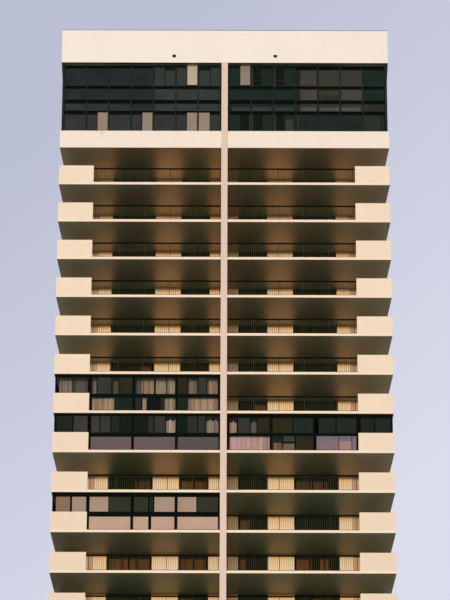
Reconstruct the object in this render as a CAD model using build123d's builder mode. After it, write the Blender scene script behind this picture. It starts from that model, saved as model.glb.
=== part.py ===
from build123d import *
import os

os.makedirs("parts", exist_ok=True)

# ---------------------------------------------------------------------------
# Apartment tower with open balconies on its front and back, as a 1:2 scale
# model. Every dimension below is the real building's, in metres, and m()
# turns it into model millimetres. +Z is up, the front faces -Y, and the
# origin is at the middle of the ground slab's underside.
# ---------------------------------------------------------------------------
SCALE = 0.5


def m(metres):
    return metres * 1000.0 * SCALE


# overall form
half_width = m(10.25)          # middle of the building to a slab's end
half_depth = m(9.0)            # middle of the building to a slab's front edge
wall_face = m(6.0)             # outer face of the back wall, and the side walls' length
wall_t = m(0.20)
front_face_top = m(5.39)       # outer face of the front wall in the top storey
front_face_step = m(0.094)     # and how much further forward it stands in each storey below,
front_face_low = m(6.42)       # as far as this
flare = m(0.29)                # a slab's end draws in by this much from its front edge to the side wall
waist = half_width - flare     # middle of the building to a slab's end at the side walls
side_face = waist - m(0.06)    # outer face of the side walls, just inside the slab ends
ground_slab_t = m(0.30)
ground_storey = m(3.90)        # ground to the underside of the first balcony slab
storey = m(2.75)
storeys = 24                   # balcony storeys above the ground storey
slab_t = m(0.175)

# penthouse and roof, heights above the underside of the penthouse slab
band_top = m(1.26)
band_t = m(0.18)
mid_slab_z = m(3.56)
mid_slab_t = m(0.25)
fascia_bottom = m(6.45)
fascia_top = m(8.95)
fascia_t = m(0.20)
roof_slab_t = m(0.35)
scupper = m(0.22)
scupper_x = m(3.18)
scupper_z = m(0.50)            # centre above the fascia's lower edge

# fin that parts the two halves of each face
fin_w = m(0.39)
fin_proud = m(0.05)

# solid corner parapets
parapet_inner = m(8.10)
parapet_h = m(1.225)           # above the slab's top
parapet_t = m(0.15)

# railings
rail_back = m(0.10)            # slab edge to the middle of the railing
rail_top = m(1.085)            # above the slab's top
rail_h = m(0.08)
bottom_rail_z = m(0.05)
bottom_rail_h = m(0.025)
post_w = m(0.045)
first_post = m(0.27)           # distance of a half's first post from the middle
post_pitch = m(1.535)
post_count = 6

# piers of the front and back walls, distances from the middle
party_pier = m(0.88)
middle_pier = (m(2.68), m(4.25))
corner_pier = (m(6.96), m(7.75))
corner_pier_d = m(0.70)
corner_recess = m(0.06)

# side walls
side_window = (m(2.4), m(4.2))
side_sill_h = m(0.95)

# enclosed balconies
enclosed = [(18, -1), (17, -1), (17, 1), (15, -1)]   # (slab number, side of the fin)
glaze_back = m(0.05)           # slab edge to the face of the posts
enclosure_posts = [(m(0.195), m(0.26)), (m(2.77), m(2.89)), (m(5.385), m(5.505)), (m(7.975), m(8.085))]
enclosure_post_d = m(0.08)
transom_z = (m(1.25), m(1.40))                       # above the slab's underside
head_z = m(2.60)                                     # lower edge of the head rail
enclosure_rail_d = m(0.04)
sheet_t = m(0.02)

# penthouse window wall
window_wall_back = m(0.27)     # fascia face to the face of the mullions
bay = m(1.396)
first_mullion = m(0.27)
mullion_w = m(0.07)
mullion_d = m(0.10)
corner_post = (m(10.03), m(10.18))
corner_return = (waist, m(10.02))                    # closes the corner behind the post, outside the side band
corner_return_d = m(0.10)
side_band_t = m(0.07)
side_window_face = waist - side_band_t               # outer face of the side mullions
transom_d = m(0.06)
transoms = [(m(1.10), m(1.32)), (m(2.73), m(2.97)), (m(3.56), m(3.81)), (m(4.67), m(4.87)), (m(6.34), fascia_bottom)]
side_bays = 12


def slab_z(j):
    """Underside of slab j, counted from 1 for the first above the ground."""
    return ground_storey + (j - 1) * storey


def front_face(j):
    """Outer face of the front wall over slab j; 0 is the ground storey."""
    return min(front_face_low, front_face_top + (storeys - j) * front_face_step)


def side_front(j):
    """Front end of the side walls over slab j, as a distance from the middle."""
    return max(wall_face, front_face(j))


penthouse_z = slab_z(storeys + 1)
all_slabs = range(1, storeys + 1)
storey_clear = storey - slab_t
slab_outline = [
    (-half_width, -half_depth), (half_width, -half_depth), (waist, -wall_face), (waist, wall_face),
    (half_width, half_depth), (-half_width, half_depth), (-waist, wall_face), (-waist, -wall_face),
]


# --- slabs -----------------------------------------------------------------
with BuildPart() as ground_floor_slab:
    with BuildSketch(Plane.XY):
        Rectangle(2 * half_width, 2 * half_depth)
    extrude(amount=ground_slab_t)

with BuildPart() as floor_slabs_lower:
    for j in range(1, 9):
        with BuildSketch(Plane.XY.offset(slab_z(j))):
            Polygon(*slab_outline, align=None)
    extrude(amount=slab_t)

with BuildPart() as floor_slabs_middle:
    for j in range(9, 17):
        with BuildSketch(Plane.XY.offset(slab_z(j))):
            Polygon(*slab_outline, align=None)
    extrude(amount=slab_t)

with BuildPart() as floor_slabs_upper:
    for j in range(17, storeys + 1):
        with BuildSketch(Plane.XY.offset(slab_z(j))):
            Polygon(*slab_outline, align=None)
    extrude(amount=slab_t)

with BuildPart() as penthouse_floor_slab:
    with BuildSketch(Plane.XY.offset(penthouse_z)):
        Polygon(*slab_outline, align=None)
    extrude(amount=slab_t)

# the middle floor and the roof stop at the inner face of the window wall
inner_x = side_window_face - mullion_d - transom_d - sheet_t
inner_y = half_depth - window_wall_back - mullion_d - transom_d - sheet_t
with BuildPart() as penthouse_mid_slab:
    with BuildSketch(Plane.XY.offset(penthouse_z + mid_slab_z)):
        Rectangle(2 * inner_x, 2 * inner_y)
    extrude(amount=mid_slab_t)

with BuildPart() as roof_slab:
    with BuildSketch(Plane.XY.offset(penthouse_z + fascia_bottom)):
        Rectangle(2 * (half_width - fascia_t), 2 * (half_depth - fascia_t))
    extrude(amount=roof_slab_t)

# --- roof fascia -----------------------------------------------------------
fascia_h = fascia_top - fascia_bottom
with BuildPart() as roof_fascia_front:
    with BuildSketch(Plane.XY.offset(penthouse_z + fascia_bottom)):
        with Locations((0, -half_depth + fascia_t / 2)):
            Rectangle(2 * half_width, fascia_t)
    extrude(amount=fascia_h)
    with BuildSketch(Plane.XZ.offset(half_depth)):
        with Locations((-scupper_x, penthouse_z + fascia_bottom + scupper_z),
                       (scupper_x, penthouse_z + fascia_bottom + scupper_z)):
            Rectangle(scupper, scupper)
    extrude(amount=-fascia_t, mode=Mode.SUBTRACT)

with BuildPart() as roof_fascia_back:
    with BuildSketch(Plane.XY.offset(penthouse_z + fascia_bottom)):
        with Locations((0, half_depth - fascia_t / 2)):
            Rectangle(2 * half_width, fascia_t)
    extrude(amount=fascia_h)
    with BuildSketch(Plane.XZ.offset(-half_depth)):
        with Locations((-scupper_x, penthouse_z + fascia_bottom + scupper_z),
                       (scupper_x, penthouse_z + fascia_bottom + scupper_z)):
            Rectangle(scupper, scupper)
    extrude(amount=fascia_t, mode=Mode.SUBTRACT)

with BuildPart() as roof_fascia_sides:
    with BuildSketch(Plane.XY.offset(penthouse_z + fascia_bottom)):
        with Locations((-half_width + fascia_t / 2, 0), (half_width - fascia_t / 2, 0)):
            Rectangle(fascia_t, 2 * (half_depth - fascia_t))
    extrude(amount=fascia_h)

# --- solid band round the foot of the penthouse ----------------------------
with BuildPart() as penthouse_band_front:
    with BuildSketch(Plane.XY.offset(penthouse_z + slab_t)):
        with Locations((0, -half_depth + band_t / 2)):
            Rectangle(2 * half_width, band_t)
    extrude(amount=band_top - slab_t)

with BuildPart() as penthouse_band_back:
    with BuildSketch(Plane.XY.offset(penthouse_z + slab_t)):
        with Locations((0, half_depth - band_t / 2)):
            Rectangle(2 * half_width, band_t)
    extrude(amount=band_top - slab_t)

with BuildPart() as penthouse_band_sides:
    with BuildSketch(Plane.XY.offset(penthouse_z + slab_t)):
        with Locations((-waist + side_band_t / 2, 0), (waist - side_band_t / 2, 0)):
            Rectangle(side_band_t, 2 * (half_depth - band_t))
    extrude(amount=band_top - slab_t)

# --- fins ------------------------------------------------------------------
fin_top = penthouse_z + fascia_bottom
with BuildPart() as front_fin_edge:
    with BuildSketch(Plane.XY):
        with Locations((0, -half_depth - fin_proud / 2)):
            Rectangle(fin_w, fin_proud)
    extrude(amount=fin_top)

with BuildPart() as back_fin_edge:
    with BuildSketch(Plane.XY):
        with Locations((0, half_depth + fin_proud / 2)):
            Rectangle(fin_w, fin_proud)
    extrude(amount=fin_top)

fin_wall_d = half_depth - wall_face
with BuildPart() as front_fin_walls:
    with BuildSketch(Plane.XY.offset(ground_slab_t)):
        with Locations((0, -(half_depth + front_face(0)) / 2)):
            Rectangle(fin_w, half_depth - front_face(0))
    extrude(amount=ground_storey - ground_slab_t)
    for j in all_slabs:
        with BuildSketch(Plane.XY.offset(slab_z(j) + slab_t)):
            with Locations((0, -(half_depth + front_face(j)) / 2)):
                Rectangle(fin_w, half_depth - front_face(j))
    extrude(amount=storey_clear)

with BuildPart() as back_fin_walls:
    with BuildSketch(Plane.XY.offset(ground_slab_t)):
        with Locations((0, half_depth - fin_wall_d / 2)):
            Rectangle(fin_w, fin_wall_d)
    extrude(amount=ground_storey - ground_slab_t)
    for j in all_slabs:
        with BuildSketch(Plane.XY.offset(slab_z(j) + slab_t)):
            with Locations((0, half_depth - fin_wall_d / 2)):
                Rectangle(fin_w, fin_wall_d)
    extrude(amount=storey_clear)

# the fin goes on as a short wall between the band and the roof
with BuildPart() as penthouse_fin_walls:
    with BuildSketch(Plane.XY.offset(penthouse_z + band_top)):
        with Locations((0, -(half_depth + inner_y) / 2), (0, (half_depth + inner_y) / 2)):
            Rectangle(fin_w, half_depth - inner_y)
    extrude(amount=fascia_bottom - band_top)

# --- front and back walls --------------------------------------------------
# The doors and windows are the full-height gaps between these piers.
middle_w = middle_pier[1] - middle_pier[0]
middle_x = (middle_pier[0] + middle_pier[1]) / 2
corner_w = corner_pier[1] - corner_pier[0]
corner_x = (corner_pier[0] + corner_pier[1]) / 2
recess_w = side_face - wall_t - corner_pier[1]
recess_x = (side_face - wall_t + corner_pier[1]) / 2

with BuildPart() as front_party_piers:
    with BuildSketch(Plane.XY.offset(ground_slab_t)):
        with Locations((0, -front_face(0) + wall_t / 2)):
            Rectangle(2 * party_pier, wall_t)
    extrude(amount=ground_storey - ground_slab_t)
    for j in all_slabs:
        with BuildSketch(Plane.XY.offset(slab_z(j) + slab_t)):
            with Locations((0, -front_face(j) + wall_t / 2)):
                Rectangle(2 * party_pier, wall_t)
    extrude(amount=storey_clear)

with BuildPart() as back_party_piers:
    with BuildSketch(Plane.XY.offset(ground_slab_t)):
        with Locations((0, wall_face - wall_t / 2)):
            Rectangle(2 * party_pier, wall_t)
    extrude(amount=ground_storey - ground_slab_t)
    for j in all_slabs:
        with BuildSketch(Plane.XY.offset(slab_z(j) + slab_t)):
            with Locations((0, wall_face - wall_t / 2)):
                Rectangle(2 * party_pier, wall_t)
    extrude(amount=storey_clear)

with BuildPart() as front_middle_piers:
    with BuildSketch(Plane.XY.offset(ground_slab_t)):
        with Locations((-middle_x, -front_face(0) + wall_t / 2), (middle_x, -front_face(0) + wall_t / 2)):
            Rectangle(middle_w, wall_t)
    extrude(amount=ground_storey - ground_slab_t)
    for j in all_slabs:
        with BuildSketch(Plane.XY.offset(slab_z(j) + slab_t)):
            with Locations((-middle_x, -front_face(j) + wall_t / 2), (middle_x, -front_face(j) + wall_t / 2)):
                Rectangle(middle_w, wall_t)
    extrude(amount=storey_clear)

with BuildPart() as back_middle_piers:
    with BuildSketch(Plane.XY.offset(ground_slab_t)):
        with Locations((-middle_x, wall_face - wall_t / 2), (middle_x, wall_face - wall_t / 2)):
            Rectangle(middle_w, wall_t)
    extrude(amount=ground_storey - ground_slab_t)
    for j in all_slabs:
        with BuildSketch(Plane.XY.offset(slab_z(j) + slab_t)):
            with Locations((-middle_x, wall_face - wall_t / 2), (middle_x, wall_face - wall_t / 2)):
                Rectangle(middle_w, wall_t)
    extrude(amount=storey_clear)

with BuildPart() as front_corner_piers:
    with BuildSketch(Plane.XY.offset(ground_slab_t)):
        with Locations((-corner_x, -front_face(0) + corner_pier_d / 2), (corner_x, -front_face(0) + corner_pier_d / 2)):
            Rectangle(corner_w, corner_pier_d)
    extrude(amount=ground_storey - ground_slab_t)
    for j in all_slabs:
        with BuildSketch(Plane.XY.offset(slab_z(j) + slab_t)):
            with Locations((-corner_x, -front_face(j) + corner_pier_d / 2), (corner_x, -front_face(j) + corner_pier_d / 2)):
                Rectangle(corner_w, corner_pier_d)
    extrude(amount=storey_clear)

with BuildPart() as back_corner_piers:
    with BuildSketch(Plane.XY.offset(ground_slab_t)):
        with Locations((-corner_x, wall_face - corner_pier_d / 2), (corner_x, wall_face - corner_pier_d / 2)):
            Rectangle(corner_w, corner_pier_d)
    extrude(amount=ground_storey - ground_slab_t)
    for j in all_slabs:
        with BuildSketch(Plane.XY.offset(slab_z(j) + slab_t)):
            with Locations((-corner_x, wall_face - corner_pier_d / 2), (corner_x, wall_face - corner_pier_d / 2)):
                Rectangle(corner_w, corner_pier_d)
    extrude(amount=storey_clear)

recess_y = wall_face - corner_recess - wall_t / 2
recess_back = corner_recess + wall_t / 2
with BuildPart() as front_corner_walls:
    with BuildSketch(Plane.XY.offset(ground_slab_t)):
        with Locations((-recess_x, -front_face(0) + recess_back), (recess_x, -front_face(0) + recess_back)):
            Rectangle(recess_w, wall_t)
    extrude(amount=ground_storey - ground_slab_t)
    for j in all_slabs:
        with BuildSketch(Plane.XY.offset(slab_z(j) + slab_t)):
            with Locations((-recess_x, -front_face(j) + recess_back), (recess_x, -front_face(j) + recess_back)):
                Rectangle(recess_w, wall_t)
    extrude(amount=storey_clear)

with BuildPart() as back_corner_walls:
    with BuildSketch(Plane.XY.offset(ground_slab_t)):
        with Locations((-recess_x, recess_y), (recess_x, recess_y)):
            Rectangle(recess_w, wall_t)
    extrude(amount=ground_storey - ground_slab_t)
    for j in all_slabs:
        with BuildSketch(Plane.XY.offset(slab_z(j) + slab_t)):
            with Locations((-recess_x, recess_y), (recess_x, recess_y)):
                Rectangle(recess_w, wall_t)
    extrude(amount=storey_clear)

# --- side walls ------------------------------------------------------------
side_wall_x = side_face - wall_t / 2
side_end_w = wall_face - side_window[1]
side_end_y = (wall_face + side_window[1]) / 2
side_win_w = side_window[1] - side_window[0]
side_win_y = (side_window[0] + side_window[1]) / 2

with BuildPart() as left_wall_piers:
    with BuildSketch(Plane.XY.offset(ground_slab_t)):
        with Locations((-side_wall_x, 0)):
            Rectangle(wall_t, 2 * side_window[0])
        with Locations((-side_wall_x, side_end_y)):
            Rectangle(wall_t, side_end_w)
        with Locations((-side_wall_x, -(side_front(0) + side_window[1]) / 2)):
            Rectangle(wall_t, side_front(0) - side_window[1])
    extrude(amount=ground_storey - ground_slab_t)
    for j in all_slabs:
        with BuildSketch(Plane.XY.offset(slab_z(j) + slab_t)):
            with Locations((-side_wall_x, 0)):
                Rectangle(wall_t, 2 * side_window[0])
            with Locations((-side_wall_x, side_end_y)):
                Rectangle(wall_t, side_end_w)
            with Locations((-side_wall_x, -(side_front(j) + side_window[1]) / 2)):
                Rectangle(wall_t, side_front(j) - side_window[1])
    extrude(amount=storey_clear)

with BuildPart() as right_wall_piers:
    with BuildSketch(Plane.XY.offset(ground_slab_t)):
        with Locations((side_wall_x, 0)):
            Rectangle(wall_t, 2 * side_window[0])
        with Locations((side_wall_x, side_end_y)):
            Rectangle(wall_t, side_end_w)
        with Locations((side_wall_x, -(side_front(0) + side_window[1]) / 2)):
            Rectangle(wall_t, side_front(0) - side_window[1])
    extrude(amount=ground_storey - ground_slab_t)
    for j in all_slabs:
        with BuildSketch(Plane.XY.offset(slab_z(j) + slab_t)):
            with Locations((side_wall_x, 0)):
                Rectangle(wall_t, 2 * side_window[0])
            with Locations((side_wall_x, side_end_y)):
                Rectangle(wall_t, side_end_w)
            with Locations((side_wall_x, -(side_front(j) + side_window[1]) / 2)):
                Rectangle(wall_t, side_front(j) - side_window[1])
    extrude(amount=storey_clear)

with BuildPart() as left_window_sills:
    for j in range(0, storeys + 1):
        sill_floor = ground_slab_t if j == 0 else slab_z(j) + slab_t
        with BuildSketch(Plane.XY.offset(sill_floor)):
            with Locations((-side_face + wall_t / 2, -side_win_y), (-side_face + wall_t / 2, side_win_y)):
                Rectangle(wall_t, side_win_w)
    extrude(amount=side_sill_h)

with BuildPart() as right_window_sills:
    for j in range(0, storeys + 1):
        sill_floor = ground_slab_t if j == 0 else slab_z(j) + slab_t
        with BuildSketch(Plane.XY.offset(sill_floor)):
            with Locations((side_face - wall_t / 2, -side_win_y), (side_face - wall_t / 2, side_win_y)):
                Rectangle(wall_t, side_win_w)
    extrude(amount=side_sill_h)

# --- solid parapets at the balconies' outer ends ---------------------------
par_w = half_width - parapet_inner
par_x = (half_width + parapet_inner) / 2
with BuildPart() as front_corner_parapets:
    for j in all_slabs:
        with BuildSketch(Plane.XY.offset(slab_z(j) + slab_t)):
            with Locations((-par_x, -half_depth + parapet_t / 2), (par_x, -half_depth + parapet_t / 2)):
                Rectangle(par_w, parapet_t)
    extrude(amount=parapet_h)

with BuildPart() as back_corner_parapets:
    for j in all_slabs:
        with BuildSketch(Plane.XY.offset(slab_z(j) + slab_t)):
            with Locations((-par_x, half_depth - parapet_t / 2), (par_x, half_depth - parapet_t / 2)):
                Rectangle(par_w, parapet_t)
    extrude(amount=parapet_h)

par_back = half_depth - parapet_t      # where the side parapets meet the corner ones


def slab_end(y):
    """A slab's half width at distance y from the middle, between its side walls' ends and its edge."""
    return half_width - flare * (half_depth - y) / (half_depth - wall_face)


def side_parapet(end, side, face):
    """Plan of one side parapet, from the corner parapet back to the side wall's end."""
    corners = [
        (slab_end(par_back), par_back), (slab_end(end), end), (slab_end(end) - parapet_t, end),
        (slab_end(par_back) - parapet_t, par_back),
    ]
    return [(side * x, face * y) for x, y in corners]


with BuildPart() as left_side_parapets:
    for j in all_slabs:
        with BuildSketch(Plane.XY.offset(slab_z(j) + slab_t)):
            Polygon(*side_parapet(side_front(j), -1, -1), align=None)
            Polygon(*side_parapet(wall_face, -1, 1), align=None)
    extrude(amount=parapet_h)

with BuildPart() as right_side_parapets:
    for j in all_slabs:
        with BuildSketch(Plane.XY.offset(slab_z(j) + slab_t)):
            Polygon(*side_parapet(side_front(j), 1, -1), align=None)
            Polygon(*side_parapet(wall_face, 1, 1), align=None)
    extrude(amount=parapet_h)

# --- railings: rails and posts, one frame for each half of a storey --------
rail_start = fin_w / 2
rail_l = parapet_inner - rail_start
rail_x = (parapet_inner + rail_start) / 2
rail_y = half_depth - rail_back
post_xs = [first_post + i * post_pitch for i in range(post_count)]


def railing_slabs(face, side):
    """Slabs whose half on this side of the fin has a railing."""
    return [j for j in all_slabs if face > 0 or (j, side) not in enclosed]


with BuildPart() as front_left_railings:
    with BuildSketch(Plane.XZ.offset(rail_y - post_w / 2)):
        for j in railing_slabs(-1, -1):
            foot = slab_z(j) + slab_t
            with Locations((-rail_x, foot + rail_top - rail_h / 2)):
                Rectangle(rail_l, rail_h)
            with Locations((-rail_x, foot + bottom_rail_z + bottom_rail_h / 2)):
                Rectangle(rail_l, bottom_rail_h)
            with Locations(*[(-x, foot + rail_top / 2) for x in post_xs]):
                Rectangle(post_w, rail_top)
    extrude(amount=post_w)

with BuildPart() as front_right_railings:
    with BuildSketch(Plane.XZ.offset(rail_y - post_w / 2)):
        for j in railing_slabs(-1, 1):
            foot = slab_z(j) + slab_t
            with Locations((rail_x, foot + rail_top - rail_h / 2)):
                Rectangle(rail_l, rail_h)
            with Locations((rail_x, foot + bottom_rail_z + bottom_rail_h / 2)):
                Rectangle(rail_l, bottom_rail_h)
            with Locations(*[(x, foot + rail_top / 2) for x in post_xs]):
                Rectangle(post_w, rail_top)
    extrude(amount=post_w)

with BuildPart() as back_left_railings:
    with BuildSketch(Plane.XZ.offset(-rail_y - post_w / 2)):
        for j in railing_slabs(1, -1):
            foot = slab_z(j) + slab_t
            with Locations((-rail_x, foot + rail_top - rail_h / 2)):
                Rectangle(rail_l, rail_h)
            with Locations((-rail_x, foot + bottom_rail_z + bottom_rail_h / 2)):
                Rectangle(rail_l, bottom_rail_h)
            with Locations(*[(-x, foot + rail_top / 2) for x in post_xs]):
                Rectangle(post_w, rail_top)
    extrude(amount=post_w)

with BuildPart() as back_right_railings:
    with BuildSketch(Plane.XZ.offset(-rail_y - post_w / 2)):
        for j in railing_slabs(1, 1):
            foot = slab_z(j) + slab_t
            with Locations((rail_x, foot + rail_top - rail_h / 2)):
                Rectangle(rail_l, rail_h)
            with Locations((rail_x, foot + bottom_rail_z + bottom_rail_h / 2)):
                Rectangle(rail_l, bottom_rail_h)
            with Locations(*[(x, foot + rail_top / 2) for x in post_xs]):
                Rectangle(post_w, rail_top)
    extrude(amount=post_w)

# --- enclosed balconies ----------------------------------------------------
post_y = half_depth - glaze_back - enclosure_post_d / 2
rail_plane = half_depth - glaze_back - enclosure_post_d - enclosure_rail_d / 2
sheet_y = half_depth - glaze_back - enclosure_post_d - enclosure_rail_d - sheet_t / 2
end_back = m(0.06)                     # slab's end to the face of the glazing there
corner_in = slab_end(sheet_y - sheet_t / 2) - end_back
parapet_z = slab_t + parapet_h         # parapet's top above the slab's underside

with BuildPart() as enclosure_posts_part:
    for j, side in enclosed:
        with BuildSketch(Plane.XY.offset(slab_z(j) + slab_t)):
            for a, b in enclosure_posts:
                with Locations((side * (a + b) / 2, -post_y)):
                    Rectangle(b - a, enclosure_post_d)
    extrude(amount=storey_clear)
    for j, side in enclosed:
        with BuildSketch(Plane.XY.offset(slab_z(j) + parapet_z)):
            with Locations((side * (corner_in - m(0.06)), -post_y)):
                Rectangle(m(0.12), enclosure_post_d)
            with Locations((side * (slab_end(side_front(j)) - end_back - m(0.04)), -side_front(j) - m(0.05))):
                Rectangle(m(0.08), m(0.10))
    extrude(amount=storey - parapet_z)

with BuildPart() as enclosure_rails_part:
    for j, side in enclosed:
        with BuildSketch(Plane.XY.offset(slab_z(j) + transom_z[0])):
            with Locations((side * rail_x, -rail_plane)):
                Rectangle(rail_l, enclosure_rail_d)
    extrude(amount=transom_z[1] - transom_z[0])
    for j, side in enclosed:
        with BuildSketch(Plane.XY.offset(slab_z(j) + head_z)):
            with Locations((side * (rail_start + corner_in) / 2, -rail_plane)):
                Rectangle(corner_in - rail_start, enclosure_rail_d)
    extrude(amount=storey - head_z)

with BuildPart() as enclosure_panels_part:
    for j, side in enclosed:
        with BuildSketch(Plane.XY.offset(slab_z(j) + slab_t)):
            with Locations((side * rail_x, -sheet_y)):
                Rectangle(rail_l, sheet_t)
    extrude(amount=transom_z[1] - slab_t)

with BuildPart() as enclosure_glass_part:
    # the part over the lower panels, and the end over the side parapet
    for j, side in enclosed:
        with BuildSketch(Plane.XY.offset(slab_z(j) + parapet_z)):
            with Locations((side * (rail_start + corner_in) / 2, -sheet_y)):
                Rectangle(corner_in - rail_start, sheet_t)
    extrude(amount=storey - parapet_z)

def end_sheet(j, side):
    """Plan of the glazing over a side parapet."""
    near, far = sheet_y - sheet_t / 2, side_front(j) + m(0.10)
    corners = [
        (slab_end(near) - end_back, -near), (slab_end(far) - end_back, -far),
        (slab_end(far) - end_back - sheet_t, -far), (slab_end(near) - end_back - sheet_t, -near),
    ]
    return [(side * x, y) for x, y in corners]


with BuildPart() as enclosure_end_glass_part:
    for j, side in enclosed:
        with BuildSketch(Plane.XY.offset(slab_z(j) + parapet_z)):
            Polygon(*end_sheet(j, side), align=None)
    extrude(amount=storey - parapet_z)

# --- penthouse window wall -------------------------------------------------
mullion_face = half_depth - window_wall_back
mullion_y = mullion_face - mullion_d / 2
mullion_h = fascia_bottom - slab_t
mullion_xs = [first_mullion + i * bay for i in range(7)]
corner_post_w = corner_post[1] - corner_post[0]
corner_post_x = (corner_post[0] + corner_post[1]) / 2
side_end = mullion_face - mullion_d - transom_d      # where the side window wall meets the front one
side_bay = 2 * side_end / side_bays
side_mullion_x = side_window_face - mullion_d / 2
return_front = mullion_face - mullion_d - transom_d - sheet_t      # inner face of the front glass
return_y = return_front - corner_return_d / 2
post_back = mullion_face - corner_post_w

with BuildPart() as penthouse_mullions:
    with BuildSketch(Plane.XY.offset(penthouse_z + slab_t)):
        for face in (-1, 1):
            for side in (-1, 1):
                for x in mullion_xs:
                    with Locations((side * x, face * mullion_y)):
                        Rectangle(mullion_w, mullion_d)
                with Locations((side * corner_post_x, face * (mullion_face - corner_post_w / 2))):
                    Rectangle(corner_post_w, corner_post_w)
                with Locations((side * (corner_post[1] + corner_return[0]) / 2, face * return_y)):
                    Rectangle(corner_post[1] - corner_return[0], corner_return_d)
                with Locations((side * (corner_post[1] + corner_return[1]) / 2, face * (return_front + post_back) / 2)):
                    Rectangle(corner_post[1] - corner_return[1], post_back - return_front)
        with Locations((-side_mullion_x, 0), (side_mullion_x, 0)):
            with GridLocations(0, side_bay, 1, side_bays - 1):
                Rectangle(mullion_d, mullion_w)
            with GridLocations(0, 2 * side_end - mullion_w, 1, 2):
                Rectangle(mullion_d, mullion_w)
    extrude(amount=mullion_h)

# rails stand just behind the mullions, and stop short of the fin
front_rail_y = mullion_face - mullion_d - transom_d / 2
front_rail_end = corner_post[1] - mullion_d - transom_d
front_rail_l = front_rail_end - fin_w / 2
front_rail_x = (front_rail_end + fin_w / 2) / 2
side_rail_x = side_window_face - mullion_d - transom_d / 2
with BuildPart() as penthouse_transoms:
    for low, high in transoms:
        with BuildSketch(Plane.XY.offset(penthouse_z + low)):
            with Locations((-front_rail_x, -front_rail_y), (front_rail_x, -front_rail_y),
                           (-front_rail_x, front_rail_y), (front_rail_x, front_rail_y)):
                Rectangle(front_rail_l, transom_d)
        extrude(amount=high - low)

with BuildPart() as penthouse_side_transoms:
    for low, high in transoms:
        with BuildSketch(Plane.XY.offset(penthouse_z + low)):
            with Locations((-side_rail_x, 0), (side_rail_x, 0)):
                Rectangle(transom_d, 2 * side_end)
        extrude(amount=high - low)

glass_y = mullion_face - mullion_d - transom_d - sheet_t / 2
glass_l = front_rail_end - sheet_t - fin_w / 2
glass_x = fin_w / 2 + glass_l / 2
with BuildPart() as penthouse_glass_front:
    with BuildSketch(Plane.XY.offset(penthouse_z + slab_t)):
        with Locations((-glass_x, -glass_y), (glass_x, -glass_y)):
            Rectangle(glass_l, sheet_t)
    extrude(amount=fascia_bottom - slab_t)

with BuildPart() as penthouse_glass_back:
    with BuildSketch(Plane.XY.offset(penthouse_z + slab_t)):
        with Locations((-glass_x, glass_y), (glass_x, glass_y)):
            Rectangle(glass_l, sheet_t)
    extrude(amount=fascia_bottom - slab_t)

side_glass_x = side_window_face - mullion_d - transom_d - sheet_t / 2
with BuildPart() as penthouse_glass_sides:
    with BuildSketch(Plane.XY.offset(penthouse_z + slab_t)):
        with Locations((-side_glass_x, 0), (side_glass_x, 0)):
            Rectangle(sheet_t, 2 * (glass_y - sheet_t / 2))
    extrude(amount=fascia_bottom - slab_t)

# --- write one file for each piece -----------------------------------------
for label, piece in (
    ("ground_floor_slab", ground_floor_slab),
    ("floor_slabs_lower", floor_slabs_lower),
    ("floor_slabs_middle", floor_slabs_middle),
    ("floor_slabs_upper", floor_slabs_upper),
    ("penthouse_floor_slab", penthouse_floor_slab),
    ("penthouse_mid_slab", penthouse_mid_slab),
    ("roof_slab", roof_slab),
    ("roof_fascia_front", roof_fascia_front),
    ("roof_fascia_back", roof_fascia_back),
    ("roof_fascia_sides", roof_fascia_sides),
    ("penthouse_band_front", penthouse_band_front),
    ("penthouse_band_back", penthouse_band_back),
    ("penthouse_band_sides", penthouse_band_sides),
    ("front_fin_edge", front_fin_edge),
    ("back_fin_edge", back_fin_edge),
    ("front_fin_walls", front_fin_walls),
    ("back_fin_walls", back_fin_walls),
    ("penthouse_fin_walls", penthouse_fin_walls),
    ("front_party_piers", front_party_piers),
    ("back_party_piers", back_party_piers),
    ("front_middle_piers", front_middle_piers),
    ("back_middle_piers", back_middle_piers),
    ("front_corner_piers", front_corner_piers),
    ("back_corner_piers", back_corner_piers),
    ("front_corner_walls", front_corner_walls),
    ("back_corner_walls", back_corner_walls),
    ("left_wall_piers", left_wall_piers),
    ("right_wall_piers", right_wall_piers),
    ("left_window_sills", left_window_sills),
    ("right_window_sills", right_window_sills),
    ("front_corner_parapets", front_corner_parapets),
    ("back_corner_parapets", back_corner_parapets),
    ("left_side_parapets", left_side_parapets),
    ("right_side_parapets", right_side_parapets),
    ("front_left_railings", front_left_railings),
    ("front_right_railings", front_right_railings),
    ("back_left_railings", back_left_railings),
    ("back_right_railings", back_right_railings),
    ("enclosure_posts", enclosure_posts_part),
    ("enclosure_rails", enclosure_rails_part),
    ("enclosure_panels", enclosure_panels_part),
    ("enclosure_glass", enclosure_glass_part),
    ("enclosure_end_glass", enclosure_end_glass_part),
    ("penthouse_mullions", penthouse_mullions),
    ("penthouse_transoms", penthouse_transoms),
    ("penthouse_side_transoms", penthouse_side_transoms),
    ("penthouse_glass_front", penthouse_glass_front),
    ("penthouse_glass_back", penthouse_glass_back),
    ("penthouse_glass_sides", penthouse_glass_sides),
):
    piece.part.label = label
    export_step(piece.part, f"parts/{label}.step")
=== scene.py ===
import math
import random

import bpy
import numpy as np
from mathutils import Matrix, Vector


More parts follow.
